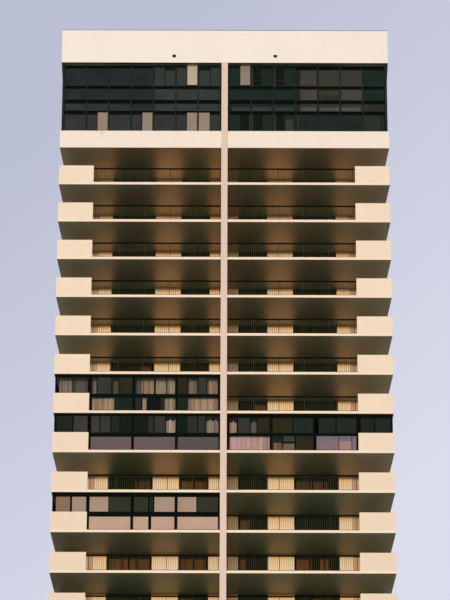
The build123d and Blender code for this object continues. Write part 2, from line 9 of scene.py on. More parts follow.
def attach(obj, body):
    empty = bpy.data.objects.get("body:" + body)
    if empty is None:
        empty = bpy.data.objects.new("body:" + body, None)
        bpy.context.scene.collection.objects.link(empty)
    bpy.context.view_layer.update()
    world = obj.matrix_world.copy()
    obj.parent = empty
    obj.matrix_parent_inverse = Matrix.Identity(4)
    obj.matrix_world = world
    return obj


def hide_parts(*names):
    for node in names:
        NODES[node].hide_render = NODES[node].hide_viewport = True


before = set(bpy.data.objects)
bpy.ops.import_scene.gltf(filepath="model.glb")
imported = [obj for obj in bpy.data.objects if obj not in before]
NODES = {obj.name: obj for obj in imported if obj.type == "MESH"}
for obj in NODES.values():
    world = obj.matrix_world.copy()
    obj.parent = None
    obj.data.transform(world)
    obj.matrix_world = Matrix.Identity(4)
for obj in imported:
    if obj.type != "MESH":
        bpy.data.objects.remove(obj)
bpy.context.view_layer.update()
rng = random.Random(20)

# The tower is a 1:2 model. Lengths below are the real building's, in metres,
# and K turns them into the model's.
K = 0.5
STOREYS = 24
GROUND, STOREY, SLAB = 3.90, 2.75, 0.175
GROUND_SLAB = 0.30
PENT = GROUND + STOREYS * STOREY          # underside of the penthouse slab
HALF_W, HALF_D, WALL = 10.25, 9.0, 6.0
FIN = 0.195
FLARE = 0.29
SIDE = HALF_W - FLARE - 0.06              # outer face of the side walls
ENCLOSED = [(18, -1), (17, -1), (17, 1), (15, -1)]


def slab_z(j):
    return GROUND + (j - 1) * STOREY


def wall_face(j, face):
    """Outer face of the front or back wall over slab j, as a distance from the middle."""
    return WALL if face > 0 else min(6.42, 5.39 + (STOREYS - j) * 0.094)


def slab_end(y):
    """Half width of a balcony slab at distance y from the middle."""
    return HALF_W - FLARE * (HALF_D - y) / (HALF_D - WALL)


def lin(r, g, b):
    """Linear colour of an 8-bit display colour."""
    out = []
    for v in (r, g, b):
        v /= 255.0
        out.append(v / 12.92 if v <= 0.04045 else ((v + 0.055) / 1.055) ** 2.4)
    return tuple(out)


def scaled(c, k):
    return tuple(min(1.0, v * k) for v in c)


# ---------------------------------------------------------------------------
# camera: far in front of the tower and below its foot, looking up
# ---------------------------------------------------------------------------
CAM = dict(x=0.2085, y=-135.0876, z=-53.1250, pitch=math.radians(32.2759), roll=0.003461,
           f=5063.8, yaw=math.radians(-0.0770))
cam_data = bpy.data.cameras.new("camera")
cam_data.sensor_width = 36.0
cam_data.sensor_fit = "AUTO"
cam_data.lens = CAM["f"] * 36.0 / 600.0
cam_data.clip_start = 0.5
cam_data.clip_end = 3000.0
camera = bpy.data.objects.new("camera", cam_data)
bpy.context.scene.collection.objects.link(camera)
fwd = Vector((math.sin(CAM["yaw"]) * math.cos(CAM["pitch"]), math.cos(CAM["yaw"]) * math.cos(CAM["pitch"]),
              math.sin(CAM["pitch"])))
right = Vector((math.cos(CAM["yaw"]), -math.sin(CAM["yaw"]), 0.0))
up = right.cross(fwd)
cr, sr = math.cos(CAM["roll"]), math.sin(CAM["roll"])
r2 = right * cr + up * sr
u2 = up * cr - right * sr
rot = Matrix((r2, u2, -fwd)).transposed()
camera.matrix_world = Matrix.Translation((CAM["x"], CAM["y"], CAM["z"])) @ rot.to_4x4()
bpy.context.scene.camera = camera


def x_at(px, z, y):
    """Real X of a picture column 0-450, at real height z and real depth y."""
    p = Vector((0.0, y * K, z * K)) - Vector((CAM["x"], CAM["y"], CAM["z"]))
    depth = p.dot(fwd)
    row = -CAM["f"] * p.dot(up) / depth
    u = (px - 225.0) + row * CAM["roll"]
    return (CAM["x"] + u * depth / CAM["f"] + p.dot(fwd) * 0.0 + math.sin(CAM["yaw"]) * (y * K - CAM["y"])) / K


# ---------------------------------------------------------------------------
# materials
# ---------------------------------------------------------------------------
def new_mat(name):
    m = bpy.data.materials.new(name)
    m.use_nodes = True
    nt = m.node_tree
    nt.nodes.clear()
    out = nt.nodes.new("ShaderNodeOutputMaterial")
    bsdf = nt.nodes.new("ShaderNodeBsdfPrincipled")
    nt.links.new(bsdf.outputs["BSDF"], out.inputs["Surface"])
    return m, nt, bsdf, out


def rgb_mix(nt, fac, a, b, blend="MIX"):
    n = nt.nodes.new("ShaderNodeMix")
    n.data_type = "RGBA"
    n.blend_type = blend
    for socket, value in ((n.inputs[0], fac), (n.inputs[6], a), (n.inputs[7], b)):
        if isinstance(value, bpy.types.NodeSocket):
            nt.links.new(value, socket)
        elif isinstance(value, tuple):
            socket.default_value = (*value[:3], 1.0)
        else:
            socket.default_value = value
    return n.outputs[2]


def maths(nt, op, a, b=0.0, c=None, clamp=False):
    n = nt.nodes.new("ShaderNodeMath")
    n.operation = op
    n.use_clamp = clamp
    for i, value in enumerate((a, b, c)):
        if value is None:
            continue
        if isinstance(value, bpy.types.NodeSocket):
            nt.links.new(value, n.inputs[i])
        else:
            n.inputs[i].default_value = value
    return n.outputs[0]


def ramp(nt, fac, stops):
    n = nt.nodes.new("ShaderNodeValToRGB")
    el = n.color_ramp.elements
    while len(el) < len(stops):
        el.new(0.5)
    for e, (pos, col) in zip(el, stops):
        e.position = pos
        e.color = (*col[:3], 1.0) if isinstance(col, tuple) else (col, col, col, 1.0)
    nt.links.new(fac, n.inputs["Fac"])
    return n.outputs["Color"]


def position(nt):
    return nt.nodes.new("ShaderNodeNewGeometry").outputs["Position"]


def noise(nt, vec, scale, detail=3.0, rough=0.5, stretch=None):
    if stretch is not None:
        mp = nt.nodes.new("ShaderNodeMapping")
        mp.inputs["Scale"].default_value = stretch
        nt.links.new(vec, mp.inputs["Vector"])
        vec = mp.outputs["Vector"]
    n = nt.nodes.new("ShaderNodeTexNoise")
    n.inputs["Scale"].default_value = scale
    n.inputs["Detail"].default_value = detail
    n.inputs["Roughness"].default_value = rough
    nt.links.new(vec, n.inputs["Vector"])
    return n.outputs["Fac"]


def axis(nt, vec, which):
    n = nt.nodes.new("ShaderNodeSeparateXYZ")
    nt.links.new(vec, n.inputs[0])
    return n.outputs[which]


def stucco(name, upper, lower, soffit=None, top=None, stain=0.10, grain=0.05, rough=0.86, head=0.0, outer=None,
           rust=(), middle=1.0, shiny=3.3, glow=(1.0, 0.62, 0.40), foot=None, crown=None, greener=0.0):
    """Painted stucco: its colour goes from lower at the foot to upper at the top of the tower,
    with cloudy patches, faint run-off streaks and a fine grain. soffit is the dark colour painted
    on faces that look down as their shade, top is the colour of faces that look up; shiny and glow
    are the gloss of a soffit. head, foot and crown paint a wall paler at its foot and browner under
    the slab above, as its shade; outer is a darker colour painted as shade on the wall behind the parapets."""
    m, nt, bsdf, out = new_mat(name)
    pos = position(nt)
    z = axis(nt, pos, 2)
    height = maths(nt, "DIVIDE", z, PENT * K, clamp=True)
    base = rgb_mix(nt, ramp(nt, height, [(0.55, 0.0), (middle, 1.0)]), lower, upper)
    across = maths(nt, "ABSOLUTE", axis(nt, pos, 0))
    if outer is not None:
        # painted shade: the wall behind the solid parapets is darker and greyer, most of all in the lower storeys
        low = ramp(nt, height, [(0.60, 0.35), (0.68, 1.0)])
        parapet_shade = rgb_mix(nt, 1.0, outer, low, "MULTIPLY")
        base = rgb_mix(nt, ramp(nt, maths(nt, "DIVIDE", across, HALF_W * K), [(0.800, 0.0), (0.812, 1.0)]), base, parapet_shade)
    cloud = noise(nt, pos, 0.55, 4.0, 0.55)
    base = rgb_mix(nt, maths(nt, "MULTIPLY", ramp(nt, cloud, [(0.30, 1.0), (0.62, 0.0)]), 0.35), base,
                   rgb_mix(nt, 1.0, base, (0.93, 0.90, 0.86), "MULTIPLY"))
    streak = noise(nt, pos, 1.0, 3.0, 0.6, (7.0, 7.0, 0.35))
    streak_f = maths(nt, "MULTIPLY", ramp(nt, streak, [(0.56, 0.0), (0.74, 1.0)]), stain)
    base = rgb_mix(nt, streak_f, base, (0.36, 0.27, 0.18))
    fine = noise(nt, pos, 46.0, 2.0, 0.6)
    base = rgb_mix(nt, grain, base, ramp(nt, fine, [(0.3, scaled(upper, 0.72)), (0.7, scaled(upper, 1.12))]))
    rough_v = maths(nt, "ADD", maths(nt, "MULTIPLY", fine, 0.10), rough - 0.05)
    for rx, width, high, long, amount in rust:
        # a rust run under a fixing: x, half width, top and length in real metres
        dx = maths(nt, "DIVIDE", maths(nt, "ABSOLUTE", maths(nt, "SUBTRACT", axis(nt, pos, 0), rx * K)), width * K)
        side_f = maths(nt, "SUBTRACT", 1.0, dx, clamp=True)
        down_f = maths(nt, "DIVIDE", maths(nt, "SUBTRACT", z, (high - long) * K), long * K, clamp=True)
        front_f = maths(nt, "LESS_THAN", axis(nt, pos, 1), 0.0)
        f = maths(nt, "MULTIPLY", maths(nt, "MULTIPLY", side_f, down_f), maths(nt, "MULTIPLY", front_f, amount))
        base = rgb_mix(nt, f, base, (0.42, 0.20, 0.11))
    if head:
        # painted shade: the walls are paler at their foot and browner towards the slab above, whose shadow falls on
        # their top
        local = nt.nodes.new("ShaderNodeMath")
        local.operation = "FLOORED_MODULO"
        nt.links.new(maths(nt, "SUBTRACT", z, GROUND * K), local.inputs[0])
        local.inputs[1].default_value = STOREY * K
        t = maths(nt, "DIVIDE", local.outputs[0], STOREY * K)
        t = maths(nt, "ADD", t, maths(nt, "MULTIPLY", maths(nt, "SUBTRACT", cloud, 0.5), 0.05))
        if foot is not None:
            rise = ramp(nt, t, [(0.64, 0.0), (0.845, 0.35), (0.93, 1.0)])
            base = rgb_mix(nt, 1.0, base, rgb_mix(nt, rise, foot, crown), "MULTIPLY")
        # a browner band right under the slab: painted shade
        f = maths(nt, "MULTIPLY", ramp(nt, t, [(0.935, 0.0), (0.995, 1.0)]), head)
        base = rgb_mix(nt, f, base, rgb_mix(nt, 1.0, base, (0.45, 0.28, 0.18), "MULTIPLY"))
    geo = nt.nodes.new("ShaderNodeNewGeometry")
    nz = axis(nt, geo.outputs["True Normal"], 2)
    if top is not None:
        f = maths(nt, "GREATER_THAN", nz, 0.5)
        tiles = rgb_mix(nt, ramp(nt, noise(nt, pos, 3.0, 3.0), [(0.35, 0.0), (0.7, 1.0)]), top, scaled(top, 0.85))
        base = rgb_mix(nt, f, base, tiles)
    if soffit is not None:
        # faces that look down take the dark soffit colour: painted shade of the ceilings
        f = maths(nt, "LESS_THAN", nz, -0.5)
        patch = noise(nt, pos, 0.9, 3.0, 0.5)
        under = rgb_mix(nt, ramp(nt, patch, [(0.35, 0.0), (0.68, 1.0)]), soffit, scaled(soffit, 0.80))
        # painted light: paler at the open corners of the upper storeys, where more side light reaches the ceilings
        far = ramp(nt, maths(nt, "DIVIDE", across, HALF_W * K), [(0.64, 0.0), (0.76, 1.0), (0.90, 1.0), (0.985, 0.5)])
        high = ramp(nt, maths(nt, "DIVIDE", z, PENT * K, clamp=True), [(0.60, 0.25), (0.69, 1.0)])
        # the right-hand corners keep this painted light in the lower storeys too
        right_painted_light = maths(nt, "MULTIPLY", maths(nt, "GREATER_THAN", axis(nt, pos, 0), 0.0), 0.65)
        high = maths(nt, "MAXIMUM", high, right_painted_light)
        under = rgb_mix(nt, maths(nt, "MULTIPLY", far, high), under, rgb_mix(nt, 1.0, under, CORNER_PAINTED_LIGHT, "MULTIPLY"))
        # painted shade: darker at the open ends of the lower ones
        end = ramp(nt, maths(nt, "DIVIDE", across, HALF_W * K), [(0.84, 0.0), (0.97, 1.0)])
        end = maths(nt, "MULTIPLY", end, maths(nt, "SUBTRACT", 1.0, high))
        under = rgb_mix(nt, end, under, rgb_mix(nt, 1.0, under, (0.50, 0.48, 0.42), "MULTIPLY"))
        # greener inside the corners from the seventh storey under the penthouse down
        green = maths(nt, "MULTIPLY", ramp(nt, maths(nt, "DIVIDE", z, PENT * K, clamp=True), [(0.70, 1.0), (0.76, 0.0)]), greener)
        green = maths(nt, "MULTIPLY", green, maths(nt, "SUBTRACT", 1.0, far))
        under = rgb_mix(nt, green, under, rgb_mix(nt, 1.0, under, (0.66, 0.98, 0.88), "MULTIPLY"))
        base = rgb_mix(nt, f, base, under)
        # and duller in the storeys below
        dull = ramp(nt, maths(nt, "DIVIDE", z, PENT * K, clamp=True), [(0.60, 0.08), (0.69, 0.0)])
        dull = maths(nt, "ADD", dull, maths(nt, "MULTIPLY", maths(nt, "GREATER_THAN", axis(nt, pos, 0), 0.0), 0.03))
        dull = maths(nt, "ADD", dull, maths(nt, "MULTIPLY", far, 0.08))
        smooth = maths(nt, "MULTIPLY", f, maths(nt, "SUBTRACT", rough - SOFFIT_ROUGH, dull))
        rough_v = maths(nt, "SUBTRACT", rough_v, smooth)
    nt.links.new(base, bsdf.inputs["Base Color"])
    nt.links.new(rough_v, bsdf.inputs["Roughness"])
    bump = nt.nodes.new("ShaderNodeBump")
    bump.inputs["Strength"].default_value = 0.25
    bump.inputs["Distance"].default_value = 0.004
    nt.links.new(noise(nt, pos, 30.0, 4.0, 0.6), bump.inputs["Height"])
    nt.links.new(bump.outputs["Normal"], bsdf.inputs["Normal"])
    if soffit is not None and shiny:
        # gloss-painted ceilings
        bsdf.inputs["IOR"].default_value = shiny
        bsdf.inputs["Specular Tint"].default_value = (*glow, 1.0)
    return m


def metal(name, colour, rough=0.6, wear=(0.030, 0.030, 0.024), amount=0.12, gloss=0.03, post=None):
    """Matt painted metal. post is the colour of a railing's parts between its two rails."""
    m, nt, bsdf, out = new_mat(name)
    pos = position(nt)
    n1 = noise(nt, pos, 6.0, 4.0, 0.6)
    base = rgb_mix(nt, ramp(nt, n1, [(0.32, 0.0), (0.72, 1.0)]), colour, scaled(colour, 0.68))
    if post is not None:
        local = maths(nt, "FLOORED_MODULO", maths(nt, "SUBTRACT", axis(nt, pos, 2), GROUND * K), STOREY * K)
        between = maths(nt, "MULTIPLY", maths(nt, "GREATER_THAN", local, (SLAB + 0.08) * K),
                        maths(nt, "LESS_THAN", local, (SLAB + 1.0) * K))
        base = rgb_mix(nt, between, base, post)
    n2 = noise(nt, pos, 38.0, 3.0, 0.7)
    base = rgb_mix(nt, maths(nt, "MULTIPLY", ramp(nt, n2, [(0.62, 0.0), (0.78, 1.0)]), amount), base, wear)
    nt.links.new(base, bsdf.inputs["Base Color"])
    nt.links.new(maths(nt, "ADD", maths(nt, "MULTIPLY", n1, 0.25), rough - 0.12), bsdf.inputs["Roughness"])
    bump = nt.nodes.new("ShaderNodeBump")
    bump.inputs["Strength"].default_value = 0.15
    bump.inputs["Distance"].default_value = 0.001
    nt.links.new(n2, bump.inputs["Height"])
    nt.links.new(bump.outputs["Normal"], bsdf.inputs["Normal"])
    bsdf.inputs["Specular IOR Level"].default_value = gloss
    return m


def glass(name, tint, alpha=0.8, rough=0.06, wave=0.35, vary=0.5):
    """Tinted pane: a dark body that lets part of the room behind show, with a slightly uneven gloss."""
    m, nt, bsdf, out = new_mat(name)
    pos = position(nt)
    # each pane a little different: noise read on a coarse grid of about one pane
    snap = nt.nodes.new("ShaderNodeVectorMath")
    snap.operation = "SNAP"
    snap.inputs[1].default_value = (0.349, 0.9, 0.62)
    nt.links.new(pos, snap.inputs[0])
    wn = nt.nodes.new("ShaderNodeTexWhiteNoise")
    wn.noise_dimensions = "3D"
    nt.links.new(snap.outputs[0], wn.inputs["Vector"])
    base = rgb_mix(nt, maths(nt, "MULTIPLY", wn.outputs["Value"], vary), tint, scaled(tint, 1.9))
    soft = noise(nt, pos, 1.6, 2.0, 0.5)
    base = rgb_mix(nt, maths(nt, "MULTIPLY", ramp(nt, soft, [(0.35, 0.0), (0.7, 1.0)]), 0.5), base, scaled(tint, 0.6))
    nt.links.new(base, bsdf.inputs["Base Color"])
    nt.links.new(maths(nt, "ADD", maths(nt, "MULTIPLY", soft, 0.08), rough - 0.03), bsdf.inputs["Roughness"])
    bsdf.inputs["Alpha"].default_value = alpha
    bsdf.inputs["IOR"].default_value = 1.5
    bump = nt.nodes.new("ShaderNodeBump")
    bump.inputs["Strength"].default_value = wave * 0.1
    bump.inputs["Distance"].default_value = 0.01
    nt.links.new(noise(nt, pos, 1.2, 1.0, 0.4), bump.inputs["Height"])
    nt.links.new(bump.outputs["Normal"], bsdf.inputs["Normal"])
    return m


def cloth(name, colour, rough=0.92, translucent=0.15):
    m, nt, bsdf, out = new_mat(name)
    pos = position(nt)
    weave = noise(nt, pos, 90.0, 2.0, 0.6, (1.0, 1.0, 0.25))
    base = rgb_mix(nt, ramp(nt, weave, [(0.3, 0.0), (0.7, 1.0)]), colour, scaled(colour, 0.8))
    big = noise(nt, pos, 1.4, 3.0, 0.5)
    base = rgb_mix(nt, maths(nt, "MULTIPLY", ramp(nt, big, [(0.35, 0.0), (0.7, 1.0)]), 0.45), base, scaled(colour, 0.72))
    # painted shade in the folds: vertical bands darkened towards 0.42 of the colour
    fold = noise(nt, pos, 15.0, 2.0, 0.7, (1.0, 0.3, 0.02))
    base = rgb_mix(nt, ramp(nt, fold, [(0.36, 0.0), (0.56, 1.0)]), scaled(colour, 0.42), base)
    nt.links.new(base, bsdf.inputs["Base Color"])
    bsdf.inputs["Roughness"].default_value = rough
    bsdf.inputs["Sheen Weight"].default_value = 0.15
    bump = nt.nodes.new("ShaderNodeBump")
    bump.inputs["Strength"].default_value = 0.2
    bump.inputs["Distance"].default_value = 0.002
    nt.links.new(weave, bump.inputs["Height"])
    nt.links.new(bump.outputs["Normal"], bsdf.inputs["Normal"])
    return m


def panel(name, colour, lines=0.0, rough=0.5, foot=None, foot_z=0.0, foot_h=1.0):
    """Opaque infill sheet, with fine level slats where lines is above 0, and a foot colour
    that it fades to from foot_z + foot_h down to foot_z (real metres)."""
    m, nt, bsdf, out = new_mat(name)
    pos = position(nt)
    cloud = noise(nt, pos, 1.8, 3.0, 0.5)
    if foot is not None:
        up_f = maths(nt, "DIVIDE", maths(nt, "SUBTRACT", axis(nt, pos, 2), foot_z * K), foot_h * K, clamp=True)
        bands = noise(nt, pos, 9.0, 2.0, 0.5, (0.05, 0.05, 1.0))
        up_f = maths(nt, "ADD", up_f, maths(nt, "MULTIPLY", maths(nt, "SUBTRACT", bands, 0.5), 0.8), clamp=True)
        base = rgb_mix(nt, up_f, foot, colour)
        base = rgb_mix(nt, ramp(nt, cloud, [(0.3, 0.0), (0.7, 1.0)]), base, rgb_mix(nt, 1.0, base, (0.9, 0.9, 0.9), "MULTIPLY"))
    else:
        base = rgb_mix(nt, ramp(nt, cloud, [(0.3, 0.0), (0.7, 1.0)]), colour, scaled(colour, 0.90))
    if lines > 0:
        z = axis(nt, pos, 2)
        s = maths(nt, "SINE", maths(nt, "MULTIPLY", z, 2 * math.pi / 0.045))
        s = maths(nt, "MULTIPLY", ramp(nt, maths(nt, "MULTIPLY", maths(nt, "ADD", s, 1.0), 0.5), [(0.6, 0.0), (0.95, 1.0)]), lines)
        base = rgb_mix(nt, s, base, scaled(colour, 0.55))
    nt.links.new(base, bsdf.inputs["Base Color"])
    nt.links.new(maths(nt, "ADD", maths(nt, "MULTIPLY", cloud, 0.15), rough - 0.07), bsdf.inputs["Roughness"])
    bump = nt.nodes.new("ShaderNodeBump")
    bump.inputs["Strength"].default_value = 0.1
    bump.inputs["Distance"].default_value = 0.002
    nt.links.new(noise(nt, pos, 22.0, 3.0, 0.6), bump.inputs["Height"])
    nt.links.new(bump.outputs["Normal"], bsdf.inputs["Normal"])
    return m


SOFFIT_ROUGH = 0.44
# SOFFIT is the dark colour of the ceilings: painted shade
SOFFIT = (0.105, 0.148, 0.080)
# CORNER_PAINTED_LIGHT lightens the soffit colour at the open corners: painted light
CORNER_PAINTED_LIGHT = (1.95, 1.75, 1.90)
FLOOR_TOP = (0.34, 0.30, 0.25)
M = {}
M["slab"] = stucco("slab_paint", (0.80, 0.68, 0.54), (0.80, 0.65, 0.48), soffit=SOFFIT, top=FLOOR_TOP, stain=0.16, shiny=3.05,
                   greener=1.0)
M["render"] = stucco("cream_render", (0.77, 0.712, 0.62), (0.74, 0.61, 0.47), soffit=SOFFIT, stain=0.05,
                     rust=[(-7.62, 0.26, PENT + 1.26, 0.70, 0.34), (-7.95, 0.16, PENT + 1.26, 0.34, 0.20)])
M["fascia"] = stucco("fascia_render", (0.79, 0.702, 0.605), (0.79, 0.702, 0.605), soffit=(0.060, 0.055, 0.022), stain=0.04,
                     shiny=0)
M["slab_low"] = stucco("slab_paint_lower", (0.80, 0.68, 0.54), (0.80, 0.65, 0.48), soffit=SOFFIT, top=FLOOR_TOP, stain=0.16,
                       shiny=2.5, glow=(1.0, 0.70, 0.47), greener=0.5)
M["parapet"] = stucco("parapet_render", (0.77, 0.62, 0.455), (0.70, 0.56, 0.41), stain=0.05, middle=0.82)
# the back walls' foot, crown and head colours are painted shade of the slab above
M["wall"] = stucco("wall_render", (0.95, 0.688, 0.402), (0.92, 0.648, 0.374), stain=0.04, head=1.0, middle=0.68,
                   foot=(1.05, 1.08, 1.16), crown=(0.92, 0.77, 0.56))
# painted shade: the corner walls are a darker orange than the piers
M["corner_wall"] = stucco("corner_wall_render", (0.60, 0.36, 0.19), (0.60, 0.36, 0.19), stain=0.10, head=0.8,
                          outer=(0.30, 0.26, 0.19))
M["side"] = stucco("side_render", (0.74, 0.61, 0.47), (0.70, 0.57, 0.43), soffit=SOFFIT, stain=0.12)
M["fin"] = stucco("fin_paint", (0.645, 0.495, 0.388), (0.635, 0.495, 0.40), stain=0.05)
M["roof"] = stucco("roof_felt", (0.40, 0.38, 0.35), (0.40, 0.38, 0.35), soffit=SOFFIT, top=(0.36, 0.34, 0.32))
M["rail"] = metal("rail_metal", (0.0035, 0.0050, 0.0028), amount=0.10, post=(0.036, 0.038, 0.026))
M["bars"] = metal("railing_bars", (0.072, 0.071, 0.030), wear=(0.05, 0.035, 0.02), amount=0.25)
M["black"] = metal("black_frame", (0.0022, 0.0042, 0.0028), amount=0.05)
M["green"] = metal("green_frame", (0.0040, 0.0085, 0.0060), amount=0.05)
M["mullion"] = metal("mullion_paint", (0.017, 0.024, 0.020), amount=0.05)
M["door_frame"] = metal("door_frame", (0.0030, 0.0040, 0.0024), amount=0.05)
M["door_glass"] = glass("door_glass", (0.005, 0.010, 0.003), alpha=0.32)
M["glass"] = glass("dark_glass", (0.011, 0.019, 0.016), alpha=0.90, vary=0.55)
M["clear"] = glass("clear_glass", (0.05, 0.055, 0.05), alpha=0.10, vary=0.2)


def tint(r, g, b):
    """Body colour of a dark pane that looks (r, g, b) with the sky's gloss on it."""
    return tuple(max(0.0004, (v - gloss) / 0.92) for v, gloss in zip(lin(r, g, b), (0.0088, 0.0088, 0.0097)))


# the tints of glass that the enclosed balconies and the penthouse are a patchwork of
for tint_name, rgb in {
    "pale_pane": (58, 58, 49), "warm_pane": (66, 65, 56), "smoke": (52, 54, 51), "haze": (53, 58, 55),
    "slate": (52, 54, 50), "umber": (44, 43, 29), "bottle": (31, 40, 33), "pine": (26, 33, 21), "moss": (36, 40, 30),
    "plum": (60, 57, 54), "ash": (54, 54, 50), "iron": (46, 48, 42), "steel": (36, 43, 37), "olive": (51, 51, 39),
    "void": (20, 25, 14), "black_pane": (24, 31, 20), "grey_light": (97, 87, 78), "green_frame_tint": (48, 56, 50),
    "jade": (33, 43, 37), "dun": (51, 52, 44), "lit_pane": (74, 74, 64), "fog": (47, 52, 49),
}.items():
    M[tint_name] = glass(tint_name + "_glass", tint(*rgb), alpha=0.95, vary=0.12)
M["vent"] = metal("dark_vent", (0.0062, 0.0098, 0.0042), amount=0.05)

NODE_MATS = {
    "ground_floor_slab": "slab", "floor_slabs_lower": "slab_low", "floor_slabs_middle": "slab_low", "floor_slabs_upper": "slab",
    "penthouse_floor_slab": "render_slab", "penthouse_mid_slab": "slab", "roof_slab": "roof",
    "roof_fascia_front": "fascia", "roof_fascia_back": "fascia", "roof_fascia_sides": "fascia",
    "penthouse_band_front": "render", "penthouse_band_back": "render", "penthouse_band_sides": "render",
    "front_fin_edge": "fin", "back_fin_edge": "fin", "front_fin_walls": "fin", "back_fin_walls": "fin",
    "penthouse_fin_walls": "fin",
    "front_party_piers": "wall", "back_party_piers": "wall", "front_middle_piers": "wall", "back_middle_piers": "wall",
    "front_corner_piers": "wall", "back_corner_piers": "wall", "front_corner_walls": "corner_wall",
    "back_corner_walls": "corner_wall",
    "left_wall_piers": "side", "right_wall_piers": "side", "left_window_sills": "side", "right_window_sills": "side",
    "front_corner_parapets": "parapet", "back_corner_parapets": "parapet",
    "left_side_parapets": "parapet", "right_side_parapets": "parapet",
    "front_left_railings": "rail", "front_right_railings": "rail", "back_left_railings": "rail",
    "back_right_railings": "rail",
    "enclosure_posts": "black", "enclosure_rails": "black",
    "penthouse_mullions": "mullion", "penthouse_transoms": "black", "penthouse_side_transoms": "black",
    "enclosure_panels": "black", "enclosure_glass": "glass", "enclosure_end_glass": "glass",
    "penthouse_glass_front": "glass", "penthouse_glass_back": "glass", "penthouse_glass_sides": "glass",
}
M["render_slab"] = stucco("band_slab_render", (0.77, 0.702, 0.61), (0.74, 0.61, 0.47), soffit=SOFFIT, top=FLOOR_TOP,
                          stain=0.05, shiny=3.8)
for node, key in NODE_MATS.items():
    obj = NODES[node]
    obj.data.materials.clear()
    obj.data.materials.append(M[key])


# ---------------------------------------------------------------------------
# mesh helpers
# ---------------------------------------------------------------------------
CUBE = [(0, 3, 2, 1), (4, 5, 6, 7), (0, 1, 5, 4), (1, 2, 6, 5), (2, 3, 7, 6), (3, 0, 4, 7)]


def add_box(v, f, x0, x1, y0, y1, z0, z1):
    x0, x1 = min(x0, x1), max(x0, x1)
    y0, y1 = min(y0, y1), max(y0, y1)
    z0, z1 = min(z0, z1), max(z0, z1)
    n = len(v)
    v.extend([(x0 * K, y0 * K, z0 * K), (x1 * K, y0 * K, z0 * K), (x1 * K, y1 * K, z0 * K), (x0 * K, y1 * K, z0 * K),
              (x0 * K, y0 * K, z1 * K), (x1 * K, y0 * K, z1 * K), (x1 * K, y1 * K, z1 * K), (x0 * K, y1 * K, z1 * K)])
    f.extend([tuple(n + i for i in q) for q in CUBE])


def piece(name, v, f, mat, slot, replaces=(), bevel=0.0):
    me = bpy.data.meshes.new(name)
    me.from_pydata(v, [], f)
    me.validate()
    me.materials.append(M[mat] if isinstance(mat, str) else mat)
    o = bpy.data.objects.new(name, me)
    bpy.context.scene.collection.objects.link(o)
    if bevel:
        b = o.modifiers.new("edges", "BEVEL")
        b.width = bevel
        b.segments = 2
        b.limit_method = "ANGLE"
    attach(o, "root")
    if replaces:
        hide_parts(*replaces)
    return o


def folds(v, f, x0, x1, y, z0, z1, pitch=0.16, depth=0.03, facing=-1, gather=0.0, seed=0, scallop=0.0):
    """Pleated curtain hung along X at depth y; gives the cloth's width before pleating."""
    r = random.Random(seed)
    n = max(6, int((x1 - x0) / pitch * 8))
    rows = 5
    base = len(v)
    phase = r.uniform(0, 6.28)
    wob = [r.uniform(0.75, 1.25) for _ in range(int((x1 - x0) / pitch) + 3)]
    length = 0.0
    prev = None
    for k in range(rows + 1):
        t = k / rows
        amp = depth * (0.55 + 0.45 * t)
        for i in range(n + 1):
            s = i / n
            x = x0 + (x1 - x0) * s
            cell = (x - x0) / pitch
            # the head may hang in scallops between its hooks
            head = z1 - scallop * abs(math.sin(math.pi * (x - x0) / (pitch * 1.9) + 0.6))
            z = head + (z0 - head) * t
            w = wob[int(cell) % len(wob)]
            yy = y + facing * amp * w * math.sin(2 * math.pi * cell + phase)
            if gather:
                x = x + (x1 - x0) * gather * (0.5 - s) * math.sin(math.pi * t) * 0.6
            v.append((x * K, yy * K, z * K))
            if k == rows // 2:
                if prev is not None:
                    length += math.hypot(x - prev[0], yy - prev[1])
                prev = (x, yy)
    for k in range(rows):
        for i in range(n):
            a = base + k * (n + 1) + i
            f.append((a, a + 1, a + n + 2, a + n + 1))
    return length


def hung(name, items, colour, slot):
    """One joined piece of curtains of the same height."""
    v, f = [], []
    total, drop = 0.0, None
    for it in items:
        total += folds(v, f, **it)
        drop = it["z1"] - it["z0"]
    mat = CLOTHS.get(colour)
    o = piece(name, v, f, mat, slot)
    for p in o.data.polygons:
        p.use_smooth = True
    flat_w = total * K
    area = flat_w * drop * K
    return o


CLOTHS = {
    "tan": cloth("tan_curtain", scaled(lin(150, 124, 98), 1.75)),
    "honey": cloth("honey_curtain", scaled(lin(152, 126, 101), 1.95)),
    "sand": cloth("sand_curtain", scaled(lin(122, 106, 90), 1.95)),
    "cream": cloth("cream_curtain", scaled(lin(156, 138, 115), 1.72)),
    "brown": cloth("brown_curtain", scaled(lin(126, 78, 36), 3.0)),
    "rust": cloth("rust_curtain", scaled(lin(138, 82, 38), 3.1)),
    "cocoa": cloth("cocoa_curtain", scaled(lin(126, 78, 40), 2.1)),
    "ember": cloth("ember_curtain", (0.364, 0.164, 0.064)),
    "pink": cloth("pink_curtain", scaled(lin(186, 150, 143), 1.70)),
    "rose": cloth("rose_curtain", scaled(lin(164, 137, 122), 1.85)),
    "taupe": cloth("taupe_curtain", scaled(lin(86, 77, 62), 1.95)),
    "grey": cloth("grey_curtain", scaled(lin(84, 77, 67), 1.75)),
}

# ---------------------------------------------------------------------------
# railings: balusters and a handrail cap
# ---------------------------------------------------------------------------
POSTS = [0.27 + 1.535 * i for i in range(6)]
BALUSTER, BALUSTER_D = 0.017, 0.017


